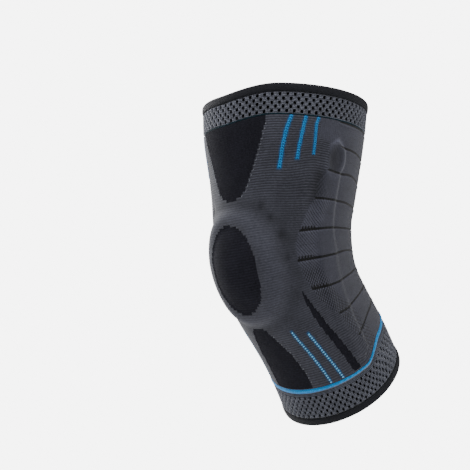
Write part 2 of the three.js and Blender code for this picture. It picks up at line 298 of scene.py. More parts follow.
# The stripes, as (angle, along) from end to end, and their width
STRIPES = [
    (np.array([(49.9, 122.0), (45.5, 105.0), (43.0, 90.0), (41.0, 72.0)]), 3.4),
    (np.array([(58.9, 122.0), (56.5, 105.0), (54.5, 90.0), (53.7, 80.5)]), 3.0),
    (np.array([(67.8, 122.0), (65.8, 110.0), (66.0, 98.0), (65.7, 86.0)]), 2.4),
]
DOTTED = [
    (np.array([(30.5, -39.5), (34.5, -63.0), (39.5, -99.0)]), 2.4),
    (np.array([(42.8, -44.5), (46.5, -70.0), (51.5, -99.0)]), 2.4),
]

# Soft dents beside the ring: angle, along and reach
DENTS = (
    (28.5, 42.0, 3.0),
    (36.0, 35.0, 3.0),
    (44.0, 24.0, 3.5),
    (46.5, 9.0, 3.5),
)
DENT_DEPTH = 1.2


def axis_at(along):
    """Place and tilt of the hollow's axis: straight, round an arc at the bend, then straight."""
    bend = math.radians(THIGH_LEAN + CALF_LEAN)
    middle = math.radians(THIGH_LEAN - CALF_LEAN) / 2
    radius = BEND_LENGTH / bend
    in_bend = np.clip(along, -BEND_LENGTH / 2, BEND_LENGTH / 2)
    tilt = middle + in_bend / radius
    past = along - in_bend
    y = radius * (math.cos(middle) - np.cos(tilt)) + past * np.sin(tilt)
    z = radius * (np.sin(tilt) - math.sin(middle)) + past * np.cos(tilt)
    return y, z, tilt


FRONT_STRETCH = 1 + KNEE_FRONT * math.radians(THIGH_LEAN + CALF_LEAN) / BEND_LENGTH


def smooth_line(at, places, values):
    """A smooth line through a table. Each slope is the mean of the slopes beside it."""
    steps = np.diff(places)
    between = np.diff(values) / steps
    slopes = np.concatenate([between[:1], (between[:-1] + between[1:]) / 2, between[-1:]])
    at = np.clip(at, places[0], places[-1])
    i = np.clip(np.searchsorted(places, at) - 1, 0, len(steps) - 1)
    t = (at - places[i]) / steps[i]
    start = (2 * t**3 - 3 * t**2 + 1) * values[i] + (t**3 - 2 * t**2 + t) * steps[i] * slopes[i]
    end = (3 * t**2 - 2 * t**3) * values[i + 1] + (t**3 - t**2) * steps[i] * slopes[i + 1]
    return start + end


def hollow_at(along):
    """The hollow's half width, and its depth to the front and to the back."""
    at = np.where(along > 0, along / ABOVE_KNEE, along / BELOW_KNEE)
    side, front, back = (smooth_line(at, HOLLOW_SECTIONS[:, 0], HOLLOW_SECTIONS[:, k]) for k in (1, 2, 3))
    return side * KNEE_WIDTH / 2, front * KNEE_FRONT, back * KNEE_BACK


def smoothstep(value, low, high):
    """0 up to low and 1 from high on, with a smooth slope between them."""
    t = np.clip((value - low) / (high - low), 0, 1)
    return t * t * (3 - 2 * t)


def span(value, start, full, fading, end):
    """0 up to the start, 1 from full to fading, and 0 again from the end on."""
    return smoothstep(value, start, full) * (1 - smoothstep(value, fading, end))


def hump(value, middle, reach):
    """1 in the middle, falling away to both sides like a bell."""
    return np.exp(-(((value - middle) / reach) ** 2))


def kneecap_half(grow):
    """Half the width and height of the window, or of an outline that far outside it."""
    return WINDOW_WIDTH / 2 + grow * RING_SPREAD, (WINDOW_HEIGHT / 2 + grow) / FRONT_STRETCH


def from_kneecap(across, along, grow):
    """0 in the middle of the kneecap window and 1 on its outline, or on one that far outside."""
    half_across, half_along = kneecap_half(grow)
    aside = np.abs(across / half_across) ** WINDOW_SQUARENESS
    above = np.abs((along - WINDOW_CENTRE) / half_along) ** WINDOW_SQUARENESS
    return np.maximum(aside + above, 1e-9) ** (1 / WINDOW_SQUARENESS)


def share_across_ring(across, along):
    """0 at the window's edge and 1 at the ring's outer edge."""
    window = from_kneecap(across, along, 0)
    ring = from_kneecap(across, along, RING_WIDTH)
    return (window - 1) * ring / (window - ring)


def place(angle, along, out):
    """A point on the inside of the knit, or out from it, in metres."""
    side, front, back = hollow_at(along)
    y, z, tilt = axis_at(along)
    away = from_kneecap(angle * side, along, RING_WIDTH + KNEECAP_MARGIN)
    lift = out + KNEECAP_RISE * (1 - smoothstep(away, 0, 1))
    depth = np.where(np.cos(angle) > 0, front, back)
    backwards = -(depth + lift) * np.cos(angle)
    x = (side + lift) * np.sin(angle)
    points = [x, y + backwards * np.cos(tilt), z - backwards * np.sin(tilt)]
    return np.stack(np.broadcast_arrays(*points), -1) * MM


def climb(angle):
    """How far the blue line and what meets it climb towards the back."""
    return LINE_RISE * smoothstep(np.abs(angle), math.radians(RISE_START), math.radians(RISE_END))


def sag(angle):
    """How far the top edge sags over the front."""
    away = np.abs(angle - math.radians(DIP_MIDDLE))
    return TOP_DIP * (1 - smoothstep(away, math.radians(DIP_LEVEL), math.radians(DIP_END)))


SLEEVE_TOP = ABOVE_KNEE - BINDING_HEIGHT - TOP_CUFF_HEIGHT - 2 * GAP
BOTTOM_CUFF_TOP = -BELOW_KNEE + BINDING_HEIGHT + GAP + BOTTOM_CUFF_HEIGHT
SLEEVE_BOTTOM = BOTTOM_CUFF_TOP + LINE_HEIGHT + 2 * GAP


def on_front(along):
    """Distance over the front, which is longer than the axis round the bend."""
    return along + (FRONT_STRETCH - 1) * np.clip(along, -BEND_LENGTH / 2, BEND_LENGTH / 2)


def along_from_front(over):
    """The place along the axis at a distance over the front."""
    half = BEND_LENGTH / 2
    inside = np.abs(over) < half * FRONT_STRETCH
    return np.where(inside, over / FRONT_STRETCH, over - np.sign(over) * half * (FRONT_STRETCH - 1))


# The grid of the knit: two rows of faces to a rib, fine columns round the front and sides
front_low = float(on_front(np.array(SLEEVE_BOTTOM)))
front_high = float(on_front(np.array(SLEEVE_TOP)))
RIBS = int(round((front_high - front_low) / RIB_PITCH))
FITTED_PITCH = (front_high - front_low) / RIBS
ROWS = 2 * RIBS
row_share = np.arange(ROWS + 1) / ROWS
row_front = front_low + (front_high - front_low) * row_share * (1 + RIB_SPREAD * (1 - row_share))
row_along = along_from_front(row_front)
fine_columns = np.arange(-FINE_REACH, FINE_REACH + 0.01, FINE_COLUMN)
coarse_columns = np.linspace(FINE_REACH, 360 - FINE_REACH, COARSE_COLUMNS + 1)[1:-1]
column_deg = np.concatenate([fine_columns, coarse_columns])
COLUMNS = len(column_deg)
column_deg = np.roll(np.where(column_deg >= 180, column_deg - 360, column_deg), COARSE_COLUMNS // 2)
column_deg = np.sort(column_deg)
column_end = np.append(column_deg, column_deg[0] + 360)
grid_angle = np.radians(column_deg)[None, :]
up_share = ((row_along - SLEEVE_BOTTOM) / (SLEEVE_TOP - SLEEVE_BOTTOM))[:, None]


def drift(angle, along):
    """How far the ribs ride up towards the head of a stay."""
    degrees = np.abs(np.degrees(angle))
    return RIB_DRIFT * span(degrees, 45.0, 68.0, 68.0, 96.0) * span(along, 30.0, 70.0, 84.0, 112.0)


grid_along = row_along[:, None] + climb(grid_angle) * (1 - up_share) - sag(grid_angle) * up_share**2
grid_along = grid_along + drift(grid_angle, row_along[:, None])
grid_side = hollow_at(grid_along)[0]
grid_across = grid_angle * grid_side
grid_degrees = np.abs(np.degrees(grid_angle)) + 0 * grid_along
mm_per_degree = math.radians(1) * grid_side


def cell_middles():
    """Angle, place along the brace and distance across the knit at the middle of each rib's stitches."""
    along = grid_along[1::2]
    middle = np.radians((column_end[:-1] + column_end[1:]) / 2)[None, :]
    angle = np.broadcast_to(middle, along.shape)
    return angle, along, angle * hollow_at(along)[0]


def front_panels():
    """The panels above and below the ring: width, edge, and places along the brace of their two ends."""
    past_ring = WINDOW_HEIGHT / 2 + RING_WIDTH
    thigh_near = WINDOW_CENTRE + (past_ring + THIGH_MARGIN) / FRONT_STRETCH
    shin_near = WINDOW_CENTRE - (past_ring + SHIN_MARGIN) / FRONT_STRETCH
    yield THIGH_PANEL_WIDTH, THIGH_PANEL_EDGE, thigh_near, SLEEVE_TOP
    yield SHIN_PANEL_WIDTH, SHIN_PANEL_EDGE, shin_near, SLEEVE_BOTTOM


def in_panel(across, along, width, edge, near, far):
    """Which places lie inside a panel that runs from near the ring to far from it."""
    height = (along - near) / (far - near)
    half = np.interp(height, edge[:, 0], edge[:, 1]) * width / 2
    return (height >= 0) & (np.abs(across) < half)


def panel_cells():
    """Which stitches belong to each piece of the knit, and which lie on its smooth sides."""
    angle, along, across = cell_middles()
    thigh, shin = front_panels()
    height = (along - SLEEVE_BOTTOM) / SLASH_LENGTH
    middle = SLASH_BOTTOM_ACROSS + (SLASH_TOP_ACROSS - SLASH_BOTTOM_ACROSS) * height
    half = np.interp(height, SLASH_EDGE[:, 0], SLASH_EDGE[:, 1]) * SLASH_WIDTH / 2
    slash = (height < 1) & (np.abs(np.abs(across) - middle) < half)
    cells = {
        "thigh_panel": in_panel(across, along, *thigh),
        "kneecap_panel": from_kneecap(across, along, 0) < 1,
        "shin_panel": in_panel(across, along, *shin),
        "slash_left": slash & (across > 0),
        "slash_right": slash & (across < 0),
    }
    cells["knit_sleeve"] = ~np.any(list(cells.values()), axis=0)
    edge = np.radians(np.interp(along, SIDE_EDGE[:, 0], SIDE_EDGE[:, 1]))
    return cells, np.abs(angle) >= edge


def stay_half_width(along):
    """Half the width of a stay: a bar with a round lower end and an oval head."""
    half = STAY_WIDTH / 2
    from_end = np.clip(along - STAY_BOTTOM, 0, half)
    bar = np.sqrt(half**2 - (half - from_end) ** 2)
    head_half = STAY_HEAD_LENGTH / 2
    up = (along - STAY_TOP + head_half) / head_half
    head = STAY_HEAD_WIDTH / 2 * np.sqrt(np.maximum(1 - up**2, 0))
    return np.where(up > 0, head, np.maximum(bar, head))


def stay_angle(along):
    """The angle of a stay's middle line."""
    share = (along - STAY_BOTTOM) / (STAY_TOP - STAY_BOTTOM)
    return np.radians(STAY_BOTTOM_ANGLE + (STAY_TOP_ANGLE - STAY_BOTTOM_ANGLE) * share)


def stay_head_distance(angle, along):
    """0 in the middle of a stay's oval head and 1 on its outline."""
    level = np.clip(along, STAY_BOTTOM, STAY_TOP)
    aside = (np.abs(angle) - stay_angle(level)) * hollow_at(along)[0] / (STAY_HEAD_WIDTH / 2)
    above = (along - STAY_TOP + STAY_HEAD_LENGTH / 2) / (STAY_HEAD_LENGTH / 2)
    return np.hypot(aside, above)


def stay_relief(angle, along):
    """The knit raised over a stay, with a crisper edge at the back and a shallow dish in its head."""
    level = np.clip(along, STAY_BOTTOM, STAY_TOP)
    aside = (np.abs(angle) - stay_angle(level)) * hollow_at(along)[0]
    beside = np.maximum(np.abs(aside) - stay_half_width(level), 0)
    away = np.hypot(beside, along - level)
    crisp = smoothstep(along, 5.0, 25.0) + smoothstep(-along, 40.0, 60.0)
    fall = np.where(aside > 0, STAY_SLOPE - (STAY_SLOPE - STAY_CRISP_SLOPE) * crisp, STAY_SLOPE)
    raised = STAY_RISE * (1 - smoothstep(away / fall, 0.05, 1))
    return raised - HEAD_DISH * (1 - smoothstep(stay_head_distance(angle, along), 0.4, 0.95))


def ring_relief(across, along):
    """The knit raised over the gel ring."""
    share = share_across_ring(across, along)
    t = np.clip((share - 0.5) / 0.8, -1, 1)
    return RING_RISE * (1 + np.cos(math.pi * t)) / 2


def dents_at(angle, along):
    """1 in the soft dents where the knit folds just outside the ring, and 0 beside them."""
    dented = np.zeros(np.broadcast(angle, along).shape)
    for degrees, level, reach in DENTS:
        aside = np.abs(np.degrees(angle)) - degrees
        dented += hump(np.hypot(aside, along - level), 0, reach)
    return np.minimum(dented, 1.2)


def course_line(degrees, row):
    """The place along the brace of a black course at an angle. Behind the back it mirrors itself."""
    start, *levels = row
    turns = np.array([start, max(90.0, start + 7), 105.0, 120.0, 140.0, 180.0, 220.0])
    return smooth_line(degrees, turns, np.array([*levels, levels[-2]]))


def course_distance(angle, along):
    """Distance up from the nearest black course, in millimetres, and 1 where that has a comb of teeth."""
    degrees = np.abs(np.degrees(angle))
    nearest = np.full(np.broadcast(angle, along).shape, 99.0)
    teeth = np.zeros_like(nearest)
    for row in COURSES:
        slope = (course_line(degrees + 1, row) - course_line(degrees - 1, row)) / 2
        steep = np.hypot(1, slope / (math.radians(1) * hollow_at(along)[0]))
        up = (along - course_line(degrees, row)) / steep
        before = np.maximum(row[0] - degrees, 0)
        distance = np.where(up < 0, -1.0, 1.0) * np.hypot(up, before)
        closer = np.abs(distance) < np.abs(nearest)
        nearest = np.where(closer, distance, nearest)
        combed = COMBED[0] < row[1] < COMBED[1]
        comb = (1 - smoothstep(degrees, row[0] + COMB_REACH - 2, row[0] + COMB_REACH)) * combed
        teeth = np.where(closer, comb, teeth)
    return nearest, teeth


def stripe_degrees(table, along):
    """The angle of a stripe at a place along the brace, from its table of (angle, along)."""
    order = np.argsort(table[:, 1])
    return np.interp(along, table[order, 1], table[order, 0])


def stripe_shade(degrees, along):
    """1 under the middle of a dotted stripe or a full one, and 0 beside them."""
    shade = np.zeros(degrees.shape)
    for table, width in STRIPES + DOTTED:
        low, high = table[:, 1].min(), table[:, 1].max()
        aside = np.abs(degrees - stripe_degrees(table, along)) * mm_per_degree
        inside = span(along, low - 1.5, low + 0.5, high - 0.5, high + 1.5)
        shade = np.maximum(shade, (1 - smoothstep(aside, width * 0.35, width * 0.8)) * inside)
    return shade


def beside_stay():
    """1 in the thin knit of the valley in front of a stay, below its head: it carries openwork and painted
    shade.
    """
    level = np.clip(grid_along, STAY_BOTTOM, STAY_TOP)
    aside = (np.abs(grid_angle) - stay_angle(level)) * grid_side
    return hump(aside, -13.5, 5.0) * span(grid_along, 40, 52, 70, 78)


def ring_highlight_and_shade():
    """Painted highlight over the gel ring, and painted shade in the fold just outside it."""
    share = share_across_ring(grid_across, grid_along)
    return 0.28 * hump(share, 0.55, 0.45) * (share > 0) - 0.16 * hump(share, 1.5, 0.3)


def head_shade_and_highlight(aside):
    """Painted shade over a stay's head, with a painted highlight on its rim that is brightest at its upper
    back.
    """
    head = stay_head_distance(grid_angle, grid_along)
    dark = 0.45 * (1 - smoothstep(head, 0.6, 1.0)) * (1 - 0.3 * smoothstep(aside, -4, 5))
    upper_back = smoothstep(aside + (grid_along - 88) * 0.8, -2, 9)
    return 0.8 * hump(head, 1.2, 0.14) * upper_back + 0.3 * hump(head, 1.16, 0.12) - dark


def ridge_highlight(aside):
    """The painted highlight on the ridge behind a stay, strongest above the bend."""
    upper = span(grid_along, 30, 48, 70, 84)
    lower = span(-grid_along, 45, 60, 92, 104)
    ridge = upper + 0.5 * lower + 0.5 * smoothstep(grid_along, 5, 20) * (1 - upper)
    return 0.33 * hump(aside, 8.2, 2.1) * ridge * (1 - smoothstep(grid_along, 84, 92))


def painted_knit_shading():
    """Painted light and shade on the knit, where 1 is plain knit."""
    level = np.clip(grid_along, STAY_BOTTOM, STAY_TOP)
    aside = grid_degrees * mm_per_degree - stay_angle(level) * grid_side
    shadow = span(grid_degrees, 38, 46, 58, 66) * span(grid_along, 5, 25, 50, 70)
    # painted highlights over the ring and along the stays, lighter towards the top, and painted shade in the
    # valley, the dents and a band beside the ring above the bend
    painted_shading = 1.0 + ring_highlight_and_shade() + head_shade_and_highlight(aside) + ridge_highlight(aside)
    painted_shading += 0.14 * smoothstep(grid_along, 92, 104)
    return painted_shading - 0.45 * valley - 0.28 * dents_at(grid_angle, grid_along) - 0.14 * shadow


def rib_strength():
    """How crisply the ribs stand out: most near the top, and least where the ring stretches them."""
    share = share_across_ring(grid_across, grid_along)
    near_ring = 1 - smoothstep(share, 1.3, 3.2)
    below = 1 - smoothstep(grid_along, -50, 10)
    return (0.85 - 0.25 * below) * (1 - 0.55 * near_ring)


valley = beside_stay()
ribbed = rib_strength()
grid_course, grid_teeth = course_distance(grid_angle, grid_along)
grid_edge = np.interp(grid_along, SIDE_EDGE[:, 0], SIDE_EDGE[:, 1])
past_edge = (grid_degrees - grid_edge) * mm_per_degree
openwork = span(past_edge, -1.5, 1.0, OPENWORK_WIDTH * 0.7, OPENWORK_WIDTH)
openwork = np.maximum(openwork * (1 - smoothstep(grid_along, 46.0, 60.0)), valley * 0.8)
grid_values = {
    "course": grid_course,
    "teeth": grid_teeth,
    "openwork": openwork,
    "crossed": 1 - span(grid_along, -5.0, 5.0, 48.0, 56.0),
    "stripe": stripe_shade(grid_degrees, grid_along),
    "painted_shading": painted_knit_shading(),
    "ribbed": ribbed,
}
relief = ring_relief(grid_across, grid_along) + stay_relief(grid_angle, grid_along)
relief = relief - DENT_DEPTH * dents_at(grid_angle, grid_along)
rib_profile = np.where(np.arange(ROWS + 1) % 2 == 1, RIB_DEPTH, 0.0)[:, None] * ribbed


def outer_face(name):
    """Height of a piece's outer face over the hollow. Each black course lies in a groove with a soft ridge
    below it."""
    if name == "knit_sleeve":
        smooth_side = smoothstep(past_edge, -0.5, 1.0)
        ribs = (rib_profile - RIB_DEPTH * ribbed) * (1 - smooth_side)
        groove = COURSE_DEPTH * hump(grid_course, 0, 0.9) - RIDGE_HEIGHT * hump(grid_course, -2.0, 1.1)
        return KNIT_WALL + relief + ribs - groove * smooth_side
    if name == "kneecap_panel":
        return PANEL_WALL + relief + rib_profile * WINDOW_RIBS
    return PANEL_WALL + relief + rib_profile * PANEL_RIBS


def inner_face():
    """The inside of the knit, with the gel ring's groove and the mouths of the stays' pockets."""
    share = share_across_ring(grid_across, grid_along)
    inside_ring = span(share, 0.0, 0.08, 0.92, 1.0)
    crown = (1 - np.cos(2 * math.pi * np.clip(share, 0, 1))) / 2
    ring = inside_ring * (KNIT_WALL - COVER_WALL + RING_RISE * crown)
    level = np.clip(grid_along, STAY_BOTTOM, STAY_BOTTOM + STAY_MOUTH)
    aside = np.abs((np.abs(grid_angle) - stay_angle(level)) * grid_side)
    in_mouth = (grid_along > STAY_BOTTOM) & (grid_along < STAY_BOTTOM + STAY_MOUTH)
    mouth = np.where(in_mouth & (aside < stay_half_width(level)), STAY_MOUTH_DEPTH, 0.0)
    return ring + mouth


inner_out = inner_face()


def mesh_from_faces(name, corners, faces, materials, face_material, uv):
    """A mesh from corner points, faces, each face's material and the knit's own coordinates."""
    mesh = bpy.data.meshes.new(name)
    mesh.from_pydata(corners.tolist(), [], faces)
    for material in materials:
        mesh.materials.append(material)
    mesh.polygons.foreach_set("material_index", face_material.astype(np.int32))
    mesh.polygons.foreach_set("use_smooth", np.ones(len(faces), dtype=bool))
    layer = mesh.uv_layers.new(name="knit")
    layer.data.foreach_set("uv", uv.reshape(-1).astype(np.float32))
    obj = bpy.data.objects.new(name, mesh)
    bpy.context.collection.objects.link(obj)
    return obj


def grid_corner(row, column, layer):
    """The number of a corner of the grid, in layer 0 for the outer face and 1 for the inner one."""
    return layer * (ROWS + 1) * COLUMNS + row * COLUMNS + column % COLUMNS


def grid_quads(*corners):
    """Quads between corners of the grid, and where they lie in the knit: round it, and up rib by rib."""
    faces = np.stack([grid_corner(*c) for c in corners], 1)
    row = FITTED_PITCH / 2
    uv = [np.stack([column_end[c[1]] / 360 * FLAT_GIRTH, c[0] * row], 1) for c in corners]
    return faces, np.stack(uv, 1) * MM


def rim_quads(quads, rows, columns):
    """The walls round a set of stitches, from the outer face to the inner one."""
    padded = np.pad(quads, ((1, 1), (0, 0)))
    sides = (
        (~padded[:-2][rows, columns], ((0, 1), (0, 0))),
        (~padded[2:][rows, columns], ((1, 0), (1, 1))),
        (~np.roll(quads, 1, axis=1)[rows, columns], ((0, 0), (1, 0))),
        (~np.roll(quads, -1, axis=1)[rows, columns], ((1, 1), (0, 1))),
    )
    for chosen, ((r0, c0), (r1, c1)) in sides:
        r, c = rows[chosen], columns[chosen]
        out, inn = np.zeros_like(r), np.ones_like(r)
        first, second = (r + r0, c + c0), (r + r1, c + c1)
        yield grid_quads((*first, out), (*second, out), (*second, inn), (*first, inn))


# Kinds of face in the knit. The first three are also the places of their materials.
FRONT, LINING, SIDE, RIM = range(4)


def knit_piece(name, cells, materials, is_side):
    """A closed piece of the knit: its stitches' outer and inner faces, and a rim where it ends.
    materials are the front's, the lining's and the side's."""
    quads = np.repeat(cells, 2, axis=0)
    rows, columns = np.nonzero(quads)
    right, out, inn = columns + 1, np.zeros_like(rows), np.ones_like(rows)
    low_left, low_right = (rows, columns), (rows, right)
    high_left, high_right = (rows + 1, columns), (rows + 1, right)
    outer = grid_quads(*((*corner, out) for corner in (low_left, low_right, high_right, high_left)))
    inner = grid_quads(*((*corner, inn) for corner in (low_left, high_left, high_right, low_right)))
    front_or_side = np.where(np.repeat(is_side, 2, axis=0)[rows, columns], SIDE, FRONT)
    parts = [(*outer, front_or_side), (*inner, np.full(len(rows), LINING))]
    for faces, uv in rim_quads(quads, rows, columns):
        parts.append((faces, uv, np.full(len(faces), RIM)))
    faces, uv, kind = (np.concatenate([part[i] for part in parts]) for i in range(3))
    heights = (outer_face(name), inner_out)
    points = [place(grid_angle, grid_along, height).reshape(-1, 3) for height in heights]
    used, renumbered = np.unique(faces, return_inverse=True)
    faces = renumbered.reshape(faces.shape)
    shown = np.where(kind == RIM, FRONT, kind)
    obj = mesh_from_faces(name, np.concatenate(points)[used], faces.tolist(), materials, shown, uv)
    for label, values in grid_values.items():
        both = np.concatenate([values.reshape(-1)] * 2)[used]
        layer = obj.data.attributes.new(label, "FLOAT", "POINT")
        layer.data.foreach_set("value", both.astype(np.float32))
    crease_rims(obj, kind == RIM)
    return obj


def crease_rims(obj, is_rim):
    """Edges between a rim and a face stay sharp."""
    mesh = obj.data
    loops = np.zeros(len(mesh.loops), dtype=np.int32)
    mesh.loops.foreach_get("edge_index", loops)
    rim_loops = np.repeat(is_rim, 4)
    touched = np.bincount(loops[rim_loops], minlength=len(mesh.edges)) > 0
    flat = np.bincount(loops[~rim_loops], minlength=len(mesh.edges)) > 0
    mesh.attributes.new("sharp_edge", "BOOLEAN", "EDGE").data.foreach_set("value", touched & flat)


def band(name, section, materials, kinds=None, columns=240):
    """A closed band round the brace. section(angle) lists its corners as (along, out), up the inside and
    down the outside, and kinds says which material follows each corner, if not the first."""
    turn = np.arange(columns + 1) * 360.0 / columns - 180
    angle = np.radians(turn[:-1])
    section_corners = section(angle)
    size = len(section_corners)
    kinds = kinds or [0] * size
    points = [place(angle, np.broadcast_to(a, angle.shape), o) for a, o in section_corners]
    points = np.stack(points, 1).reshape(-1, 3)
    over = np.cumsum([0.0] + [
        float(np.mean(np.hypot(b[0] - a[0], b[1] - a[1])))
        for a, b in zip(section_corners, section_corners[1:] + section_corners[:1])
    ])
    faces, uv, kind = [], [], []
    for i in range(size):
        j = (i + 1) % size
        for c in range(columns):
            d = (c + 1) % columns
            faces.append((c * size + i, c * size + j, d * size + j, d * size + i))
            u0, u1 = turn[c] / 360 * FLAT_GIRTH, turn[c + 1] / 360 * FLAT_GIRTH
            uv.append(((u0, over[i]), (u0, over[i + 1]), (u1, over[i + 1]), (u1, over[i])))
            kind.append(kinds[i])
    return mesh_from_faces(name, points, faces, materials, np.array(kind), np.array(uv) * MM)


def binding_section(bottom, sags):
    """A folded edge: flat inside, with a round outer side."""
    turns = np.radians(np.linspace(-90, 90, 15))
    rise = (1 - np.sin(turns)) / 2 * BINDING_HEIGHT
    swell = BINDING_WALL * (0.45 + 0.55 * np.abs(np.cos(turns)) ** 0.5)

    def section(angle):
        low = bottom - sags * sag(angle)
        outer = [(low + r, s) for r, s in zip(rise, swell)]
        return [(low, BINDING_INSIDE), (low + BINDING_HEIGHT, BINDING_INSIDE), *outer]

    return section


def line_section(angle):
    """The blue course: thick in front and thin at the sides."""
    turns = np.radians(np.linspace(-90, 90, 9))
    middle = BOTTOM_CUFF_TOP + GAP + LINE_HEIGHT / 2 + climb(angle)
    half = LINE_HEIGHT / 2 * np.interp(np.abs(np.degrees(angle)), LINE_THINS[0], LINE_THINS[1])
    crown = LINE_SHOULDER + (LINE_WALL - LINE_SHOULDER) * np.cos(turns)
    outer = [(middle - half * math.sin(t), out) for t, out in zip(turns, crown)]
    low, high = middle - LINE_HEIGHT / 2 - SEAM, middle + LINE_HEIGHT / 2 + SEAM
    return [(low, 0.0), (high, 0.0), (high, LINE_SHOULDER), *outer, (low, LINE_SHOULDER)]


def hole_tile(hole_width, hole_height):
    """One tile of the net, a unit wide and high: rounded strands round a blind hole, highest
    between it and the holes beside it."""
    border = [(x, -0.5) for x in (-0.5, -0.25, 0, 0.25, 0.5)] + [(0.5, 0.0)]
    border += [(-x, -y) for x, y in border]
    rings = []
    for grow, height in TILE_RINGS:
        for x, y in border:
            turn = math.atan2(y, x)
            reach = (abs(math.cos(turn)) ** 4 + abs(math.sin(turn)) ** 4) ** -0.25
            px, py = reach * math.cos(turn) * hole_width / 2, reach * math.sin(turn) * hole_height / 2
            at = (x, y) if grow is None else (px * grow, np.clip(py * grow, -0.46, 0.46))
            rings.append((*at, 1.0 if grow is None and y == 0 else height))
    count = len(border)
    faces = []
    for ring in range(0, len(rings) - count, count):
        for i in range(count):
            j = (i + 1) % count
            faces.append((ring + i, ring + j, ring + count + j, ring + count + i))
    faces.append(tuple(range(len(rings) - count, len(rings))))
    mesh = bpy.data.meshes.new("hole_tile")
    mesh.from_pydata(rings, [], faces)
    pit = mesh.attributes.new("pit", "BOOLEAN", "FACE")
    pit.data.foreach_set("value", [k >= 2 * count for k in range(len(faces))])
    return bpy.data.objects.new("hole_tile", mesh)


def geometry_tree(name, inputs):
    """A new tree of Geometry Nodes, its given inputs and its output node."""
    tree = bpy.data.node_groups.new(name, "GeometryNodeTree")
    tree.is_modifier = True
    tree.interface.new_socket(name="Geometry", in_out="INPUT", socket_type="NodeSocketGeometry")
    for label, kind in inputs:
        tree.interface.new_socket(name=label, in_out="INPUT", socket_type=kind)
    tree.interface.new_socket(name="Geometry", in_out="OUTPUT", socket_type="NodeSocketGeometry")
    return tree, add_node(tree, "NodeGroupInput").outputs, add_node(tree, "NodeGroupOutput")


def finished_mesh(carrier, tree, values):
    """The plain mesh that a tree makes on a carrier, with the tree's inputs set by name."""
    modifier = carrier.modifiers.new(tree.name, "NODES")
    modifier.node_group = tree
    for item in tree.interface.items_tree:
        if item.item_type == "SOCKET" and item.in_out == "INPUT" and item.name in values:
            modifier[item.identifier] = values[item.name]
    bpy.context.collection.objects.link(carrier)
    graph = bpy.context.evaluated_depsgraph_get()
    made = bpy.data.meshes.new_from_object(carrier.evaluated_get(graph))
    bpy.data.objects.remove(carrier)
    return made


def net_tree():
    """Tiles in rows, every other row moved by half a tile, joined into one sheet."""
    tree, given, end = geometry_tree(
        "cuff_net",
        [
            ("Tile", "NodeSocketObject"),
            ("Tiles round", "NodeSocketInt"),
            ("Rows", "NodeSocketInt"),
            ("Yarn", "NodeSocketMaterial"),
            ("Hole", "NodeSocketMaterial"),
        ],
    )
    rows = given["Rows"]
    grid = add_node(tree, "GeometryNodeMeshGrid", {"Vertices X": given["Tiles round"], "Vertices Y": rows})
    index = add_node(tree, "GeometryNodeInputIndex").outputs[0]
    row = maths(tree, "MODULO", index, rows)
    column = maths(tree, "FLOOR", maths(tree, "DIVIDE", maths(tree, "ADD", index, 0.5), rows))
    aside = maths(tree, "MULTIPLY_ADD", maths(tree, "MODULO", row, 2.0), 0.5, column)
    up = maths(tree, "ADD", row, 0.5)
    at = add_node(tree, "ShaderNodeCombineXYZ", {"X": aside, "Y": up})
    links = {"Geometry": grid.outputs["Mesh"], "Position": at.outputs[0]}
    set_out = add_node(tree, "GeometryNodeSetPosition", links)
    tile = add_node(tree, "GeometryNodeObjectInfo", {"Object": given["Tile"]})
    links = {"Points": set_out.outputs[0], "Instance": tile.outputs["Geometry"]}
    copies = add_node(tree, "GeometryNodeInstanceOnPoints", links)
    real = add_node(tree, "GeometryNodeRealizeInstances", {"Geometry": copies.outputs[0]})
    joined = add_node(tree, "GeometryNodeMergeByDistance", {"Geometry": real.outputs[0], "Distance": 0.001})
    links = {"Geometry": joined.outputs[0], "Material": given["Yarn"]}
    yarn = add_node(tree, "GeometryNodeSetMaterial", links)
    pit = add_node(tree, "GeometryNodeInputNamedAttribute", {"Name": "pit"}, data_type="BOOLEAN")
    links = {"Geometry": yarn.outputs[0], "Selection": pit.outputs[0], "Material": given["Hole"]}
    hole = add_node(tree, "GeometryNodeSetMaterial", links)
    tree.links.new(hole.outputs[0], end.inputs[0])
    return tree


def flat_net(tiles, rows, hole, materials):
    """The net laid flat: its points, its faces, and 1 for each face that is a hole's."""
    tile = hole_tile(*hole)
    carrier = bpy.data.objects.new("flat_net", bpy.data.meshes.new("flat_net"))
    values = {"Tile": tile, "Tiles round": tiles, "Rows": rows, "Yarn": materials[0], "Hole": materials[1]}
    mesh = finished_mesh(carrier, net, values)
    bpy.data.objects.remove(tile)
    points = np.zeros(len(mesh.vertices) * 3)
    mesh.vertices.foreach_get("co", points)
    faces = [tuple(p.vertices) for p in mesh.polygons]
    is_hole = np.zeros(len(faces), dtype=bool)
    mesh.attributes["pit"].data.foreach_get("value", is_hole)
    bpy.data.meshes.remove(mesh)
    return points.reshape(-1, 3), faces, is_hole.astype(int).tolist()


def weld(mesh):
    """Joins the net to its strips and turns all faces outwards."""
    work = bmesh.new()
    work.from_mesh(mesh)
    bmesh.ops.remove_doubles(work, verts=work.verts, dist=0.00002)
    bmesh.ops.recalc_face_normals(work, faces=work.faces)
    work.to_mesh(mesh)
    work.free()


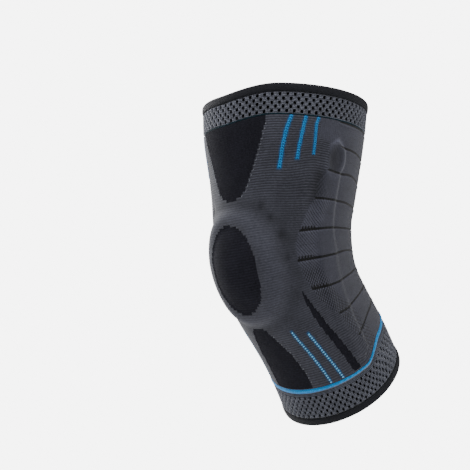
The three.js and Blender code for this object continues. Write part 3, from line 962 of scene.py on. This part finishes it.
def net_cuff(name, tiles, rows, hole, edges, materials):
    """A cuff: its net wrapped round the brace, a plain strip below and above it, and a plain inside.
    edges(angle) gives the heights of the cuff's bottom, the net's bottom, the net's top and the cuff's top.
    materials are the yarn's, the holes', the inside's and the lower strip's."""
    flat, faces, kind = flat_net(tiles, rows, hole, materials)
    angle = flat[:, 0] / tiles * 2 * math.pi - math.pi
    low, net_low, net_high, high = edges(angle)
    along = net_low + flat[:, 1] / rows * (net_high - net_low)
    corners = [np.stack([angle, along, flat[:, 2] * CUFF_WALL], 1)]
    turn = (np.arange(4 * tiles + 1) / tiles / 4) * 2 * math.pi - math.pi
    low, net_low, net_high, high = edges(turn)
    edge = NET_EDGE * CUFF_WALL
    section = [(low + (high - low) * k / INSIDE_ROWS, 0.0) for k in range(INSIDE_ROWS + 1)]
    section += [(high, edge * 0.9), (net_high, edge), (net_low, edge), (low, edge * 0.9)]
    lines = []
    for height, out in section:
        lines.append(sum(len(c) for c in corners))
        corners.append(np.stack([turn, height, np.full(len(turn), out)], 1))
    inside, upper, net_upper, net_lower, lower = range(INSIDE_ROWS, INSIDE_ROWS + 5)
    strips = [(k, k + 1, 2) for k in range(inside)]
    strips += [(inside, upper, 0), (upper, net_upper, 0), (net_lower, lower, 3), (lower, 0, 3)]
    for first, second, material in strips:
        a, b = lines[first], lines[second]
        for k in range(4 * tiles):
            faces.append((a + k, b + k, b + k + 1, a + k + 1))
            kind.append(material)
    corners = np.concatenate(corners)
    points = place(corners[:, 0], corners[:, 1], corners[:, 2])
    order = [corner for face in faces for corner in face]
    uv = np.stack([corners[:, 0] / (2 * math.pi) * FLAT_GIRTH, corners[:, 1]], 1)[order] * MM
    obj = mesh_from_faces(name, points, faces, materials, np.array(kind), uv)
    weld(obj.data)
    return obj


def stitch_tree():
    """A rounded stitch on each point, facing out of the knit and lying along its own direction."""
    tree, given, end = geometry_tree("laid_stitches", [("Stitch", "NodeSocketMaterial")])
    bead = add_node(tree, "GeometryNodeMeshUVSphere", {"Segments": 8, "Rings": 5, "Radius": 0.5})
    smooth = add_node(tree, "GeometryNodeSetShadeSmooth", {"Geometry": bead.outputs["Mesh"]})

    def vector(name):
        kind = "GeometryNodeInputNamedAttribute"
        return add_node(tree, kind, {"Name": name}, data_type="FLOAT_VECTOR").outputs[0]

    turned = "FunctionNodeAlignRotationToVector"
    facing = add_node(tree, turned, {"Vector": vector("facing")}, axis="Z").outputs[0]
    links = {"Rotation": facing, "Vector": vector("lying")}
    lying = add_node(tree, turned, links, axis="Y", pivot_axis="Z").outputs[0]
    links = {
        "Points": given["Geometry"],
        "Instance": smooth.outputs[0],
        "Rotation": lying,
        "Scale": vector("size"),
    }
    copies = add_node(tree, "GeometryNodeInstanceOnPoints", links)
    real = add_node(tree, "GeometryNodeRealizeInstances", {"Geometry": copies.outputs[0]})
    links = {"Geometry": real.outputs[0], "Material": given["Stitch"]}
    done = add_node(tree, "GeometryNodeSetMaterial", links)
    tree.links.new(done.outputs[0], end.inputs[0])
    return tree


def surface_out(angle, along):
    """Height of the knit's outer face over the hollow, ribs left out."""
    raised = ring_relief(angle * hollow_at(along)[0], along) + stay_relief(angle, along)
    return KNIT_WALL + raised - DENT_DEPTH * dents_at(angle, along)


def laid_stitches(name, stitches, material):
    """One mesh of stitches, each given as (angle, along, turn from upright, width, length, height)."""
    angle, along, turn, wide, long, high = np.array(stitches).T
    out = surface_out(angle, along) - STITCH_SINK
    at = place(angle, along, out)
    right = place(angle + 0.004, along, out) - at
    up = place(angle, along + 0.3, out) - at
    right /= np.linalg.norm(right, axis=1)[:, None]
    up -= right * np.sum(up * right, 1)[:, None]
    up /= np.linalg.norm(up, axis=1)[:, None]
    lying = up * np.cos(turn)[:, None] + right * np.sin(turn)[:, None]
    size = np.stack([wide, long, high], 1) * MM
    mesh = bpy.data.meshes.new(name)
    mesh.from_pydata(at.tolist(), [], [])
    for label, values in (("facing", np.cross(right, up)), ("lying", lying), ("size", size)):
        layer = mesh.attributes.new(label, "FLOAT_VECTOR", "POINT")
        layer.data.foreach_set("vector", values.reshape(-1).astype(np.float32))
    made = finished_mesh(bpy.data.objects.new(name, mesh), stitching, {"Stitch": material})
    obj = bpy.data.objects.new(name, made)
    bpy.context.collection.objects.link(obj)
    return obj


def rib_places(low, high, count=1):
    """Places along the brace of the ribs' crests between two places, count to a rib."""
    crests = along_from_front(np.interp(np.arange(1, ROWS, 2 / count), np.arange(ROWS + 1), row_front))
    return crests[(crests > low) & (crests < high)]


def sagged(turn, level):
    """A rib's own place at an angle, lower where the top edge sags."""
    return level - float(sag(turn)) * max(level / SLEEVE_TOP, 0) ** 2


def stripe_stitches():
    """The solid blue stripes: two stitches to a rib, leaning together like a knit stitch."""
    made = []
    lean, wide, long, high = STRIPE_STITCH
    for table, width in STRIPES:
        bottom, top = table[:, 1].min(), table[:, 1].max()
        for level in rib_places(bottom - 8, top + 8):
            for side in (-1, 1):
                turn = math.radians(stripe_degrees(table, level)) * side
                along = sagged(turn, level) + float(drift(np.array(turn), np.array(level)))
                if not bottom < along < SLEEVE_TOP - float(sag(turn)) - 0.4:
                    continue
                middle = math.radians(stripe_degrees(table, along))
                step = width * 0.2 / float(hollow_at(np.array(along))[0])
                for half in (-1, 1):
                    turn = (middle + half * step) * side
                    made.append((turn, along, -lean * half * side, width * wide, long, high))
    return made


def dotted_stitches():
    """The dotted stripes: one light stitch on every rib."""
    made = []
    lean, wide, long, high = DOT_STITCH
    for table, width in DOTTED:
        for level in rib_places(table[:, 1].min(), table[:, 1].max()):
            for side in (-1, 1):
                turn = math.radians(stripe_degrees(table, level)) * side
                made.append((turn, level, lean * side, wide, width * long, high))
    return made


def edge_stitches():
    """Light stitches where the grey knit meets the black panels."""
    made = []
    lean, *size = EDGE_STITCH
    for width, edge, near, far in front_panels():
        for level in rib_places(min(near, far) + 3, max(near, far) - 6, 0.5):
            half = np.interp((level - near) / (far - near), edge[:, 0], edge[:, 1]) * width / 2 + 0.9
            for side in (-1, 1):
                turn = side * half / float(hollow_at(np.array(level))[0])
                made.append((turn, sagged(turn, level), lean * side, *size))
    return made


def gel_ring():
    """The gel ring in its groove: flat on the inside, crowned into the knit."""
    turns = np.radians(np.arange(0, 360, 2.5))
    shares = np.linspace(RING_INSET, 1 - RING_INSET, 11)
    crown = GEL_FLANK + RING_RISE * (1 - np.cos(2 * math.pi * shares)) / 2
    rings = [(s, c) for s, c in zip(shares, crown)] + [(s, GEL_FLOOR) for s in shares[::-1]]
    x, y = np.cos(turns), np.sin(turns)
    window = 1 / from_kneecap(x, WINDOW_CENTRE + y, 0)
    ring = 1 / from_kneecap(x, WINDOW_CENTRE + y, RING_WIDTH)
    points = []
    for share, out in rings:
        reach = window + (ring - window) * share
        along = WINDOW_CENTRE + y * reach
        points.append(place(x * reach / hollow_at(along)[0], along, out))
    count, size = len(turns), len(rings)
    faces, uv = [], []
    for i in range(size):
        j = (i + 1) % size
        for k in range(count):
            m = (k + 1) % count
            faces.append((i * count + k, j * count + k, j * count + m, i * count + m))
            uv.append(((k, i), (k, i + 1), (k + 1, i + 1), (k + 1, i)))
    corners = np.concatenate(points)
    shown = np.zeros(len(faces))
    return mesh_from_faces("gel_ring", corners, faces, [gel_material], shown, np.array(uv) * MM)


# Materials


def add_node(tree, kind, links=None, **settings):
    """A node with its settings. links gives its inputs, each a socket to join or a value to set."""
    made = tree.nodes.new(kind)
    for name, value in settings.items():
        setattr(made, name, value)
    for socket, source in (links or {}).items():
        if isinstance(source, bpy.types.NodeSocket):
            tree.links.new(source, made.inputs[socket])
        else:
            made.inputs[socket].default_value = source
    return made


def maths(tree, operation, *terms):
    """The result of a sum on sockets and numbers."""
    return add_node(tree, "ShaderNodeMath", dict(enumerate(terms)), operation=operation).outputs[0]


def colour(code):
    """A colour from its web code, as light."""
    parts = [int(code[i : i + 2], 16) / 255 for i in (0, 2, 4)]
    return (*[p / 12.92 if p <= 0.04045 else ((p + 0.055) / 1.055) ** 2.4 for p in parts], 1.0)


def new_group(name, inputs, outputs):
    """A new group of shader nodes, with its input and output nodes."""
    tree = bpy.data.node_groups.new(name, "ShaderNodeTree")
    for label, kind, value in inputs:
        made = tree.interface.new_socket(name=label, in_out="INPUT", socket_type=kind)
        if value is not None:
            made.default_value = value
    for label, kind in outputs:
        tree.interface.new_socket(name=label, in_out="OUTPUT", socket_type=kind)
    return tree, add_node(tree, "NodeGroupInput"), add_node(tree, "NodeGroupOutput")


def wave_of(tree, value):
    """A sine that turns once for each unit of the value."""
    return maths(tree, "SINE", maths(tree, "MULTIPLY", value, 2 * math.pi))


def stitch_group():
    """Rows of knit stitches on a piece's own coordinates: a height, and a painted shade, dark between them.
    """
    inputs = [
        ("Coordinates", "NodeSocketVector", None),
        ("Wale", "NodeSocketFloat", 1.6 * MM),
        ("Course", "NodeSocketFloat", 1.1 * MM),
    ]
    outputs = [("Height", "NodeSocketFloat"), ("Shade", "NodeSocketFloat")]
    tree, start, end = new_group("knit_stitches", inputs, outputs)
    split = add_node(tree, "ShaderNodeSeparateXYZ", {0: start.outputs["Coordinates"]})
    across = maths(tree, "DIVIDE", split.outputs["X"], start.outputs["Wale"])
    up = maths(tree, "DIVIDE", split.outputs["Y"], start.outputs["Course"])
    fold = maths(tree, "PINGPONG", across, 0.5)
    loops = wave_of(tree, maths(tree, "MULTIPLY_ADD", fold, 1.2, up))
    both = maths(tree, "MULTIPLY_ADD", wave_of(tree, across), 0.5, loops)
    tree.links.new(maths(tree, "MULTIPLY_ADD", both, 0.33, 0.5), end.inputs["Height"])
    tree.links.new(maths(tree, "MULTIPLY_ADD", both, 0.12, 1.0), end.inputs["Shade"])
    return tree


def fleck_group():
    """The uneven grey of mixed yarn: a value near 1 that changes in streaks along the courses."""
    inputs = [("Coordinates", "NodeSocketVector", None), ("Amount", "NodeSocketFloat", 0.2)]
    tree, start, end = new_group("yarn_flecks", inputs, [("Value", "NodeSocketFloat")])
    given = start.outputs["Coordinates"]
    streaks = add_node(tree, "ShaderNodeMapping", {"Vector": given, "Scale": (0.35, 1.0, 1.0)}).outputs[0]
    fine = add_node(tree, "ShaderNodeTexNoise", {"Vector": streaks, "Scale": 1100.0, "Detail": 2.0})
    broad = add_node(tree, "ShaderNodeTexNoise", {"Vector": given, "Scale": 60.0, "Detail": 3.0})
    small = maths(tree, "SUBTRACT", fine.outputs["Fac"], 0.8)
    mixed = maths(tree, "MULTIPLY_ADD", broad.outputs["Fac"], 0.6, small)
    reach = maths(tree, "MULTIPLY", start.outputs["Amount"], 4.0)
    tree.links.new(maths(tree, "MULTIPLY_ADD", mixed, reach, 1.0), end.inputs["Value"])
    return tree


def strokes_group():
    """Slanting lines across the knit: 1 on a line, and 0 between two."""
    inputs = [
        ("Coordinates", "NodeSocketVector", None),
        ("Slant", "NodeSocketFloat", 1.0),
        ("Pitch", "NodeSocketFloat", 3.0 * MM),
        ("Width", "NodeSocketFloat", 0.3),
    ]
    tree, start, end = new_group("slanting_strokes", inputs, [("Line", "NodeSocketFloat")])
    split = add_node(tree, "ShaderNodeSeparateXYZ", {0: start.outputs["Coordinates"]})
    away = maths(tree, "ABSOLUTE", split.outputs["X"])
    slanted = maths(tree, "MULTIPLY_ADD", away, start.outputs["Slant"], split.outputs["Y"])
    wave = wave_of(tree, maths(tree, "DIVIDE", slanted, start.outputs["Pitch"]))
    lifted = maths(tree, "ADD", wave, maths(tree, "SUBTRACT", start.outputs["Width"], 0.5))
    sharp = maths(tree, "MULTIPLY", lifted, 1.6)
    sharp.node.use_clamp = True
    tree.links.new(sharp, end.inputs["Line"])
    return tree


class Finish:
    """One material being made: its tree and its shader."""

    def __init__(self, name, roughness, sheen=0.0, metallic=0.0, specular=0.2):
        self.material = bpy.data.materials.new(name)
        self.material.use_nodes = True
        self.tree = self.material.node_tree
        self.shader = self.tree.nodes["Principled BSDF"]
        self.shader.inputs["Roughness"].default_value = roughness
        self.shader.inputs["Sheen Weight"].default_value = sheen
        self.shader.inputs["Sheen Roughness"].default_value = 0.5
        self.shader.inputs["Metallic"].default_value = metallic
        self.shader.inputs["Specular IOR Level"].default_value = specular
        self.coordinates = None

    def knit(self, axis=None):
        """The knit's own coordinates, or one of them."""
        if self.coordinates is None:
            self.coordinates = add_node(self.tree, "ShaderNodeUVMap", uv_map="knit").outputs["UV"]
        if axis is None:
            return self.coordinates
        return add_node(self.tree, "ShaderNodeSeparateXYZ", {0: self.coordinates}).outputs[axis]

    def maths(self, operation, *terms):
        return maths(self.tree, operation, *terms)

    def value(self, name):
        """A value that the mesh carries."""
        return add_node(self.tree, "ShaderNodeAttribute", attribute_name=name).outputs["Fac"]

    def placed(self, group, links):
        """A shader group on the knit's own coordinates."""
        links = {"Coordinates": self.knit(), **links}
        return add_node(self.tree, "ShaderNodeGroup", links, node_tree=group).outputs

    def stitches(self, wale, course):
        return self.placed(stitches, {"Wale": wale * MM, "Course": course * MM})

    def flecks(self, amount):
        return self.placed(flecks, {"Amount": amount})["Value"]

    def strokes(self, slant, pitch, width):
        return self.placed(strokes, {"Slant": slant, "Pitch": pitch * MM, "Width": width})["Line"]

    def mix(self, share, low, high):
        """A colour between two, each given as a socket or as a web code."""
        low, high = (colour(end) if isinstance(end, str) else end for end in (low, high))
        return add_node(self.tree, "ShaderNodeMix", {0: share, 6: low, 7: high}, data_type="RGBA").outputs[2]

    def shaded(self, tint, shade):
        """A colour, given as a socket or as a web code, made lighter or darker."""
        tint = colour(tint)[:3] if isinstance(tint, str) else tint
        links = {0: tint, "Scale": shade}
        return add_node(self.tree, "ShaderNodeVectorMath", links, operation="SCALE").outputs[0]

    def finish(self, tint, height, depth=0.3):
        """The finished material, with its colour and its fine relief."""
        self.tree.links.new(tint, self.shader.inputs["Base Color"])
        links = {"Height": height, "Distance": depth * MM, "Strength": 0.6}
        bump = add_node(self.tree, "ShaderNodeBump", links)
        self.tree.links.new(bump.outputs[0], self.shader.inputs["Normal"])
        return self.material


def rib_wave(made):
    """1 on a rib's crest and 0 between two ribs."""
    turns = made.maths("DIVIDE", made.knit("Y"), FITTED_PITCH * MM)
    wave = made.maths("COSINE", made.maths("MULTIPLY", turns, 2 * math.pi))
    return made.maths("MULTIPLY_ADD", wave, -0.5, 0.5)


def front_finish():
    """Grey ribs with painted highlights on their crests and painted shade in their grooves, and blue yarn
    under the stripes.
    """
    made = Finish("ribbed_grey_knit", 0.88, sheen=0.2)
    crest = rib_wave(made)
    knit = made.stitches(1.7, FITTED_PITCH / 2)
    crest = made.maths("MULTIPLY_ADD", made.maths("SUBTRACT", crest, 0.55), made.value("ribbed"), 0.55)
    # painted shade in the rib grooves and painted highlight on the crests
    tint = made.mix(crest, FRONT_SHADED_GROOVE, FRONT_LIT_CREST)
    tint = made.mix(made.maths("MULTIPLY", made.value("stripe"), 0.9), tint, UNDER_STRIPE)
    # the knit's painted light and shade, with its flecks
    shade = made.maths("MULTIPLY", made.flecks(0.28), made.value("painted_shading"))
    height = made.maths("MULTIPLY_ADD", knit["Height"], 0.4, crest)
    return made.finish(made.shaded(tint, shade), height, depth=0.45)


def openwork_lines(made):
    """1 on the dark strokes of the openwork: broken ones that fall, crossed in places by ones that rise."""
    broken = made.strokes(-1.6, 2.1, 1.0)
    falling = made.maths("MULTIPLY", made.strokes(1.6, 4.2, 0.4), broken)
    rising = made.maths("MULTIPLY", made.strokes(-1.6, 4.2, 0.3), made.value("crossed"))
    return made.maths("MULTIPLY", made.maths("MAXIMUM", falling, rising), made.value("openwork"))


def between(made, value, low, high):
    """1 where a value lies between two others, and 0 elsewhere."""
    under = made.maths("LESS_THAN", value, high)
    return made.maths("MULTIPLY", under, made.maths("GREATER_THAN", value, low))


def black_courses(made, tint):
    """Adds the black courses with their combs of teeth, and a painted highlight on the ridge below each."""
    away = made.value("course")
    tooth = made.maths("PINGPONG", made.maths("DIVIDE", made.knit("X"), TOOTH_WIDTH * MM), 1.0)
    tooth = made.maths("MULTIPLY", made.maths("GREATER_THAN", tooth, 0.5), made.value("teeth"))
    top = made.maths("MULTIPLY_ADD", tooth, TOOTH_LENGTH, COURSE_HALF)
    # the ridge below each course is made lighter: painted highlight
    ridge = between(made, away, -RIDGE_REACH, -COURSE_HALF)
    tint = made.shaded(tint, made.maths("MULTIPLY_ADD", ridge, 0.22, 1.0))
    return made.mix(between(made, away, -COURSE_HALF, top), tint, COURSE_BLACK)


def side_finish():
    """Smooth grey knit with slanting openwork behind the ribs, and black courses."""
    made = Finish("smooth_grey_knit", 0.86, sheen=0.25)
    knit = made.stitches(1.67, 1.1)
    shade = made.maths("MULTIPLY", knit["Shade"], made.flecks(0.2))
    # painted light and shade on the side knit, with its stitches and flecks
    tint = made.shaded(SIDE_GREY, made.maths("MULTIPLY", shade, made.value("painted_shading")))
    tint = made.shaded(tint, made.maths("MULTIPLY_ADD", made.value("openwork"), 0.45, 1.0))
    lines = openwork_lines(made)
    tint = black_courses(made, made.mix(lines, tint, OPENWORK_BLACK))
    height = made.maths("SUBTRACT", knit["Height"], made.maths("MULTIPLY", lines, 0.8))
    return made.finish(tint, height, depth=0.35)


def black_finish(name, rib_share, low, high):
    """Black knit, with painted highlights on its rib crests, as strong as rib_share says."""
    made = Finish(name, 0.92, specular=0.1)
    crest = made.maths("MULTIPLY", rib_wave(made), rib_share)
    knit = made.stitches(1.67, FITTED_PITCH / 2)
    # the black, lighter on the rib crests: painted highlight
    tint = made.shaded(made.mix(crest, low, high), made.flecks(0.3))
    return made.finish(tint, made.maths("ADD", crest, knit["Height"]))


def plain_finish(name, code, roughness, wale, course, sheen=0.15, amount=0.2):
    """A yarn of one colour with its stitches."""
    made = Finish(name, roughness, sheen=sheen)
    knit = made.stitches(wale, course)
    shade = made.maths("MULTIPLY", knit["Shade"], made.flecks(amount))
    return made.finish(made.shaded(code, shade), knit["Height"])


def cuff_finish():
    """Grey net yarn, with painted highlights on the strands lying across it and painted shade between them.
    """
    made = Finish("mesh_knit", 0.86, sheen=0.2)
    wave = wave_of(made.tree, made.maths("DIVIDE", made.knit("Y"), 1.25 * MM))
    strand = made.maths("MULTIPLY_ADD", wave, 0.5, 0.5)
    # painted highlight on the strands and painted shade between them
    tint = made.mix(strand, CUFF_SHADED_GAP, CUFF_LIT_STRAND)
    return made.finish(made.shaded(tint, made.flecks(0.3)), strand)


def beads_finish(name, low, high):
    """The yarn of laid stitches, lighter along some of its length."""
    made = Finish(name, 0.6, sheen=0.2)
    at = add_node(made.tree, "ShaderNodeTexCoord").outputs["Object"]
    links = {"Vector": at, "Scale": 900.0, "Detail": 1.0}
    noise = add_node(made.tree, "ShaderNodeTexNoise", links).outputs["Fac"]
    return made.finish(made.mix(noise, low, high), noise, depth=0.15)


def solid_finish(name, low, high, roughness, metallic, scale):
    """Gel or steel: a plain body with faint cloudy wear."""
    made = Finish(name, roughness, metallic=metallic, specular=0.5)
    at = add_node(made.tree, "ShaderNodeTexCoord").outputs["Object"]
    stretched = add_node(made.tree, "ShaderNodeMapping", {"Vector": at, "Scale": (1.0, 1.0, 0.2)}).outputs[0]
    links = {"Vector": stretched, "Scale": scale, "Detail": 4.0}
    noise = add_node(made.tree, "ShaderNodeTexNoise", links).outputs["Fac"]
    return made.finish(made.mix(noise, low, high), noise, depth=0.1)


stitches = stitch_group()
flecks = fleck_group()
strokes = strokes_group()
net = net_tree()
stitching = stitch_tree()
front_material = front_finish()
side_material = side_finish()
panel_material = black_finish("black_knit", 0.25, PANEL_BLACK, PANEL_LIT_CREST)
window_material = black_finish("black_ribbed_knit", 0.5, PANEL_BLACK, WINDOW_LIT_CREST)
lining_material = plain_finish("knit_inside", LINING_GREY, 0.92, 1.67, 1.1, amount=0.3)
cuff_material = cuff_finish()
hole_material = plain_finish("dark_backing", HOLE_BLACK, 0.95, 1.3, 1.3, sheen=0.0)
binding_material = plain_finish("edge_binding", BINDING_BLACK, 0.8, 1.0, 60.0, sheen=0.06)
blue_material = plain_finish("blue_yarn", BLUE, 0.62, 2.4, 2.4, amount=0.35)
teal_material = plain_finish("teal_yarn", TEAL, 0.8, 1.5, 1.5)
stripe_material = beads_finish("blue_stitches", *STRIPE_BLUES)
dot_material = beads_finish("light_blue_stitches", *DOT_BLUES)
pale_material = beads_finish("pale_stitches", *PALE_GREYS)
gel_material = solid_finish("soft_gel", *GEL_GREYS, 0.42, 0.0, 60.0)
steel_material = solid_finish("spring_steel", *STEEL_GREYS, 0.32, 1.0, 400.0)



def knit_pieces():
    """The grey sleeve and the black panels, each from its own stitches."""
    cells, is_side = panel_cells()
    outer_materials = {"knit_sleeve": front_material, "kneecap_panel": window_material}
    for name, chosen in cells.items():
        materials = [outer_materials.get(name, panel_material), lining_material, side_material]
        yield name, knit_piece(name, chosen, materials, is_side & (name == "knit_sleeve"))


def blue_line():
    """The thick blue course above the lower cuff, with grey shoulders where it thins."""
    materials = [blue_material, lining_material, cuff_material]
    kinds = [1, 2, 2] + [0] * 8 + [2, 2]
    return band("blue_line", line_section, materials, kinds)


def top_cuff():
    """The upper cuff. Its top and bottom follow the sag of the top edge."""
    def edges(angle):
        low = SLEEVE_TOP + GAP - sag(angle)
        return low - SEAM, low + 1.1, low + TOP_CUFF_HEIGHT - 0.4, low + TOP_CUFF_HEIGHT + TUCK

    materials = [cuff_material, hole_material, lining_material, teal_material]
    return net_cuff("top_cuff", TOP_TILES, 5, (0.37, 0.74), edges, materials)


def bottom_cuff():
    """The lower cuff. Its top climbs with the blue line."""
    def edges(angle):
        low = -BELOW_KNEE + BINDING_HEIGHT + GAP + 0 * angle
        high = low + BOTTOM_CUFF_HEIGHT
        return low - TUCK, low + 0.4, high - 3.4 + 0.8 * climb(angle), high + SEAM + climb(angle)

    materials = [cuff_material, hole_material, lining_material, cuff_material]
    return net_cuff("bottom_cuff", BOTTOM_TILES, 6, (0.33, 0.66), edges, materials)


pieces = dict(knit_pieces())
top_section = binding_section(ABOVE_KNEE - BINDING_HEIGHT, 1)
bottom_section = binding_section(-BELOW_KNEE, 0)
pieces["top_binding"] = band("top_binding", top_section, [binding_material])
pieces["bottom_binding"] = band("bottom_binding", bottom_section, [binding_material])
pieces["blue_line"] = blue_line()
pieces["top_cuff"] = top_cuff()
pieces["bottom_cuff"] = bottom_cuff()
pieces["blue_stripes"] = laid_stitches("blue_stripes", stripe_stitches(), stripe_material)
pieces["dotted_stripes"] = laid_stitches("dotted_stripes", dotted_stitches(), dot_material)
pieces["edge_stitches"] = laid_stitches("edge_stitches", edge_stitches(), pale_material)
pieces["gel_ring"] = gel_ring()
for name in ("stay_left", "stay_right"):
    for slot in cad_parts[name].material_slots:
        slot.material = steel_material

stands_for = {
    "blue_stripes": "knit_sleeve",
    "dotted_stripes": "knit_sleeve",
    "edge_stitches": "knit_sleeve",
    "gel_ring": "kneecap_ring",
}
slots = {
    "knit_sleeve": "grey_knit",
    "edge_stitches": "grey_knit",
    "top_binding": "binding",
    "bottom_binding": "binding",
    "top_cuff": "mesh_knit",
    "bottom_cuff": "mesh_knit",
    "blue_line": "blue_yarn",
    "blue_stripes": "blue_yarn",
    "dotted_stripes": "blue_yarn",
    "gel_ring": "gel",
}
for name, piece in pieces.items():
    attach(piece, "root")
    slots.get(name, "black_knit")
    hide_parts(stands_for.get(name, name))


def make_camera():
    """At the photograph's angle: round to the side, and a little below level."""
    turn, rise, roll = (math.radians(angle) for angle in (CAMERA_TURN, CAMERA_RISE, CAMERA_ROLL))
    back = Vector((math.sin(turn) * math.cos(rise), -math.cos(turn) * math.cos(rise), math.sin(rise)))
    data = bpy.data.cameras.new("camera")
    data.sensor_width = 36.0
    data.lens = CAMERA_LENS
    data.shift_x, data.shift_y = CAMERA_SHIFT
    data.clip_start, data.clip_end = 0.05, 20.0
    camera = bpy.data.objects.new("camera", data)
    camera.location = back * CAMERA_DISTANCE
    camera.rotation_mode = "QUATERNION"
    camera.rotation_quaternion = Quaternion(back, roll) @ (-back).to_track_quat("-Z", "Y")
    bpy.context.collection.objects.link(camera)
    bpy.context.scene.camera = camera


def make_light(name, at, size, power):
    """A soft box that faces the middle of the brace."""
    data = bpy.data.lights.new(name, "AREA")
    data.shape = "RECTANGLE"
    data.size, data.size_y = size
    data.energy = power
    light = bpy.data.objects.new(name, data)
    light.location = at
    light.rotation_euler = (-Vector(at)).to_track_quat("-Z", "Y").to_euler()
    bpy.context.collection.objects.link(light)


def make_floor():
    """A pale floor that is as bright as the backdrop to the camera."""
    material = bpy.data.materials.new("pale_floor")
    material.use_nodes = True
    tree = material.node_tree
    shader = tree.nodes["Principled BSDF"]
    shader.inputs["Base Color"].default_value = (0.85, 0.85, 0.85, 1)
    shader.inputs["Roughness"].default_value = 0.9
    glow = add_node(tree, "ShaderNodeEmission", {"Color": (1, 1, 1, 1), "Strength": BACKDROP})
    seen = add_node(tree, "ShaderNodeLightPath").outputs["Is Camera Ray"]
    both = add_node(tree, "ShaderNodeMixShader", {0: seen, 1: shader.outputs[0], 2: glow.outputs[0]})
    tree.links.new(both.outputs[0], tree.nodes["Material Output"].inputs["Surface"])
    middle = (0, 0, FLOOR_HEIGHT)
    bpy.ops.mesh.primitive_circle_add(vertices=96, radius=6.0, fill_type="NGON", location=middle)
    floor = bpy.context.object
    floor.name = "floor"
    floor.data.materials.append(material)


def make_studio():
    """A white backdrop, with soft light mostly from the left and the right, and little from the front."""
    make_floor()
    world = bpy.data.worlds.new("studio")
    bpy.context.scene.world = world
    world.use_nodes = True
    tree = world.node_tree
    background = tree.nodes["Background"]
    seen = add_node(tree, "ShaderNodeLightPath").outputs["Is Camera Ray"]
    level = maths(tree, "MULTIPLY_ADD", seen, BACKDROP - ROOM_LIGHT, ROOM_LIGHT)
    tree.links.new(level, background.inputs["Strength"])
    background.inputs["Color"].default_value = (1, 1, 1, 1)
    for name, at, size, power in LIGHTS:
        make_light(name, at, size, power)


make_camera()
make_studio()
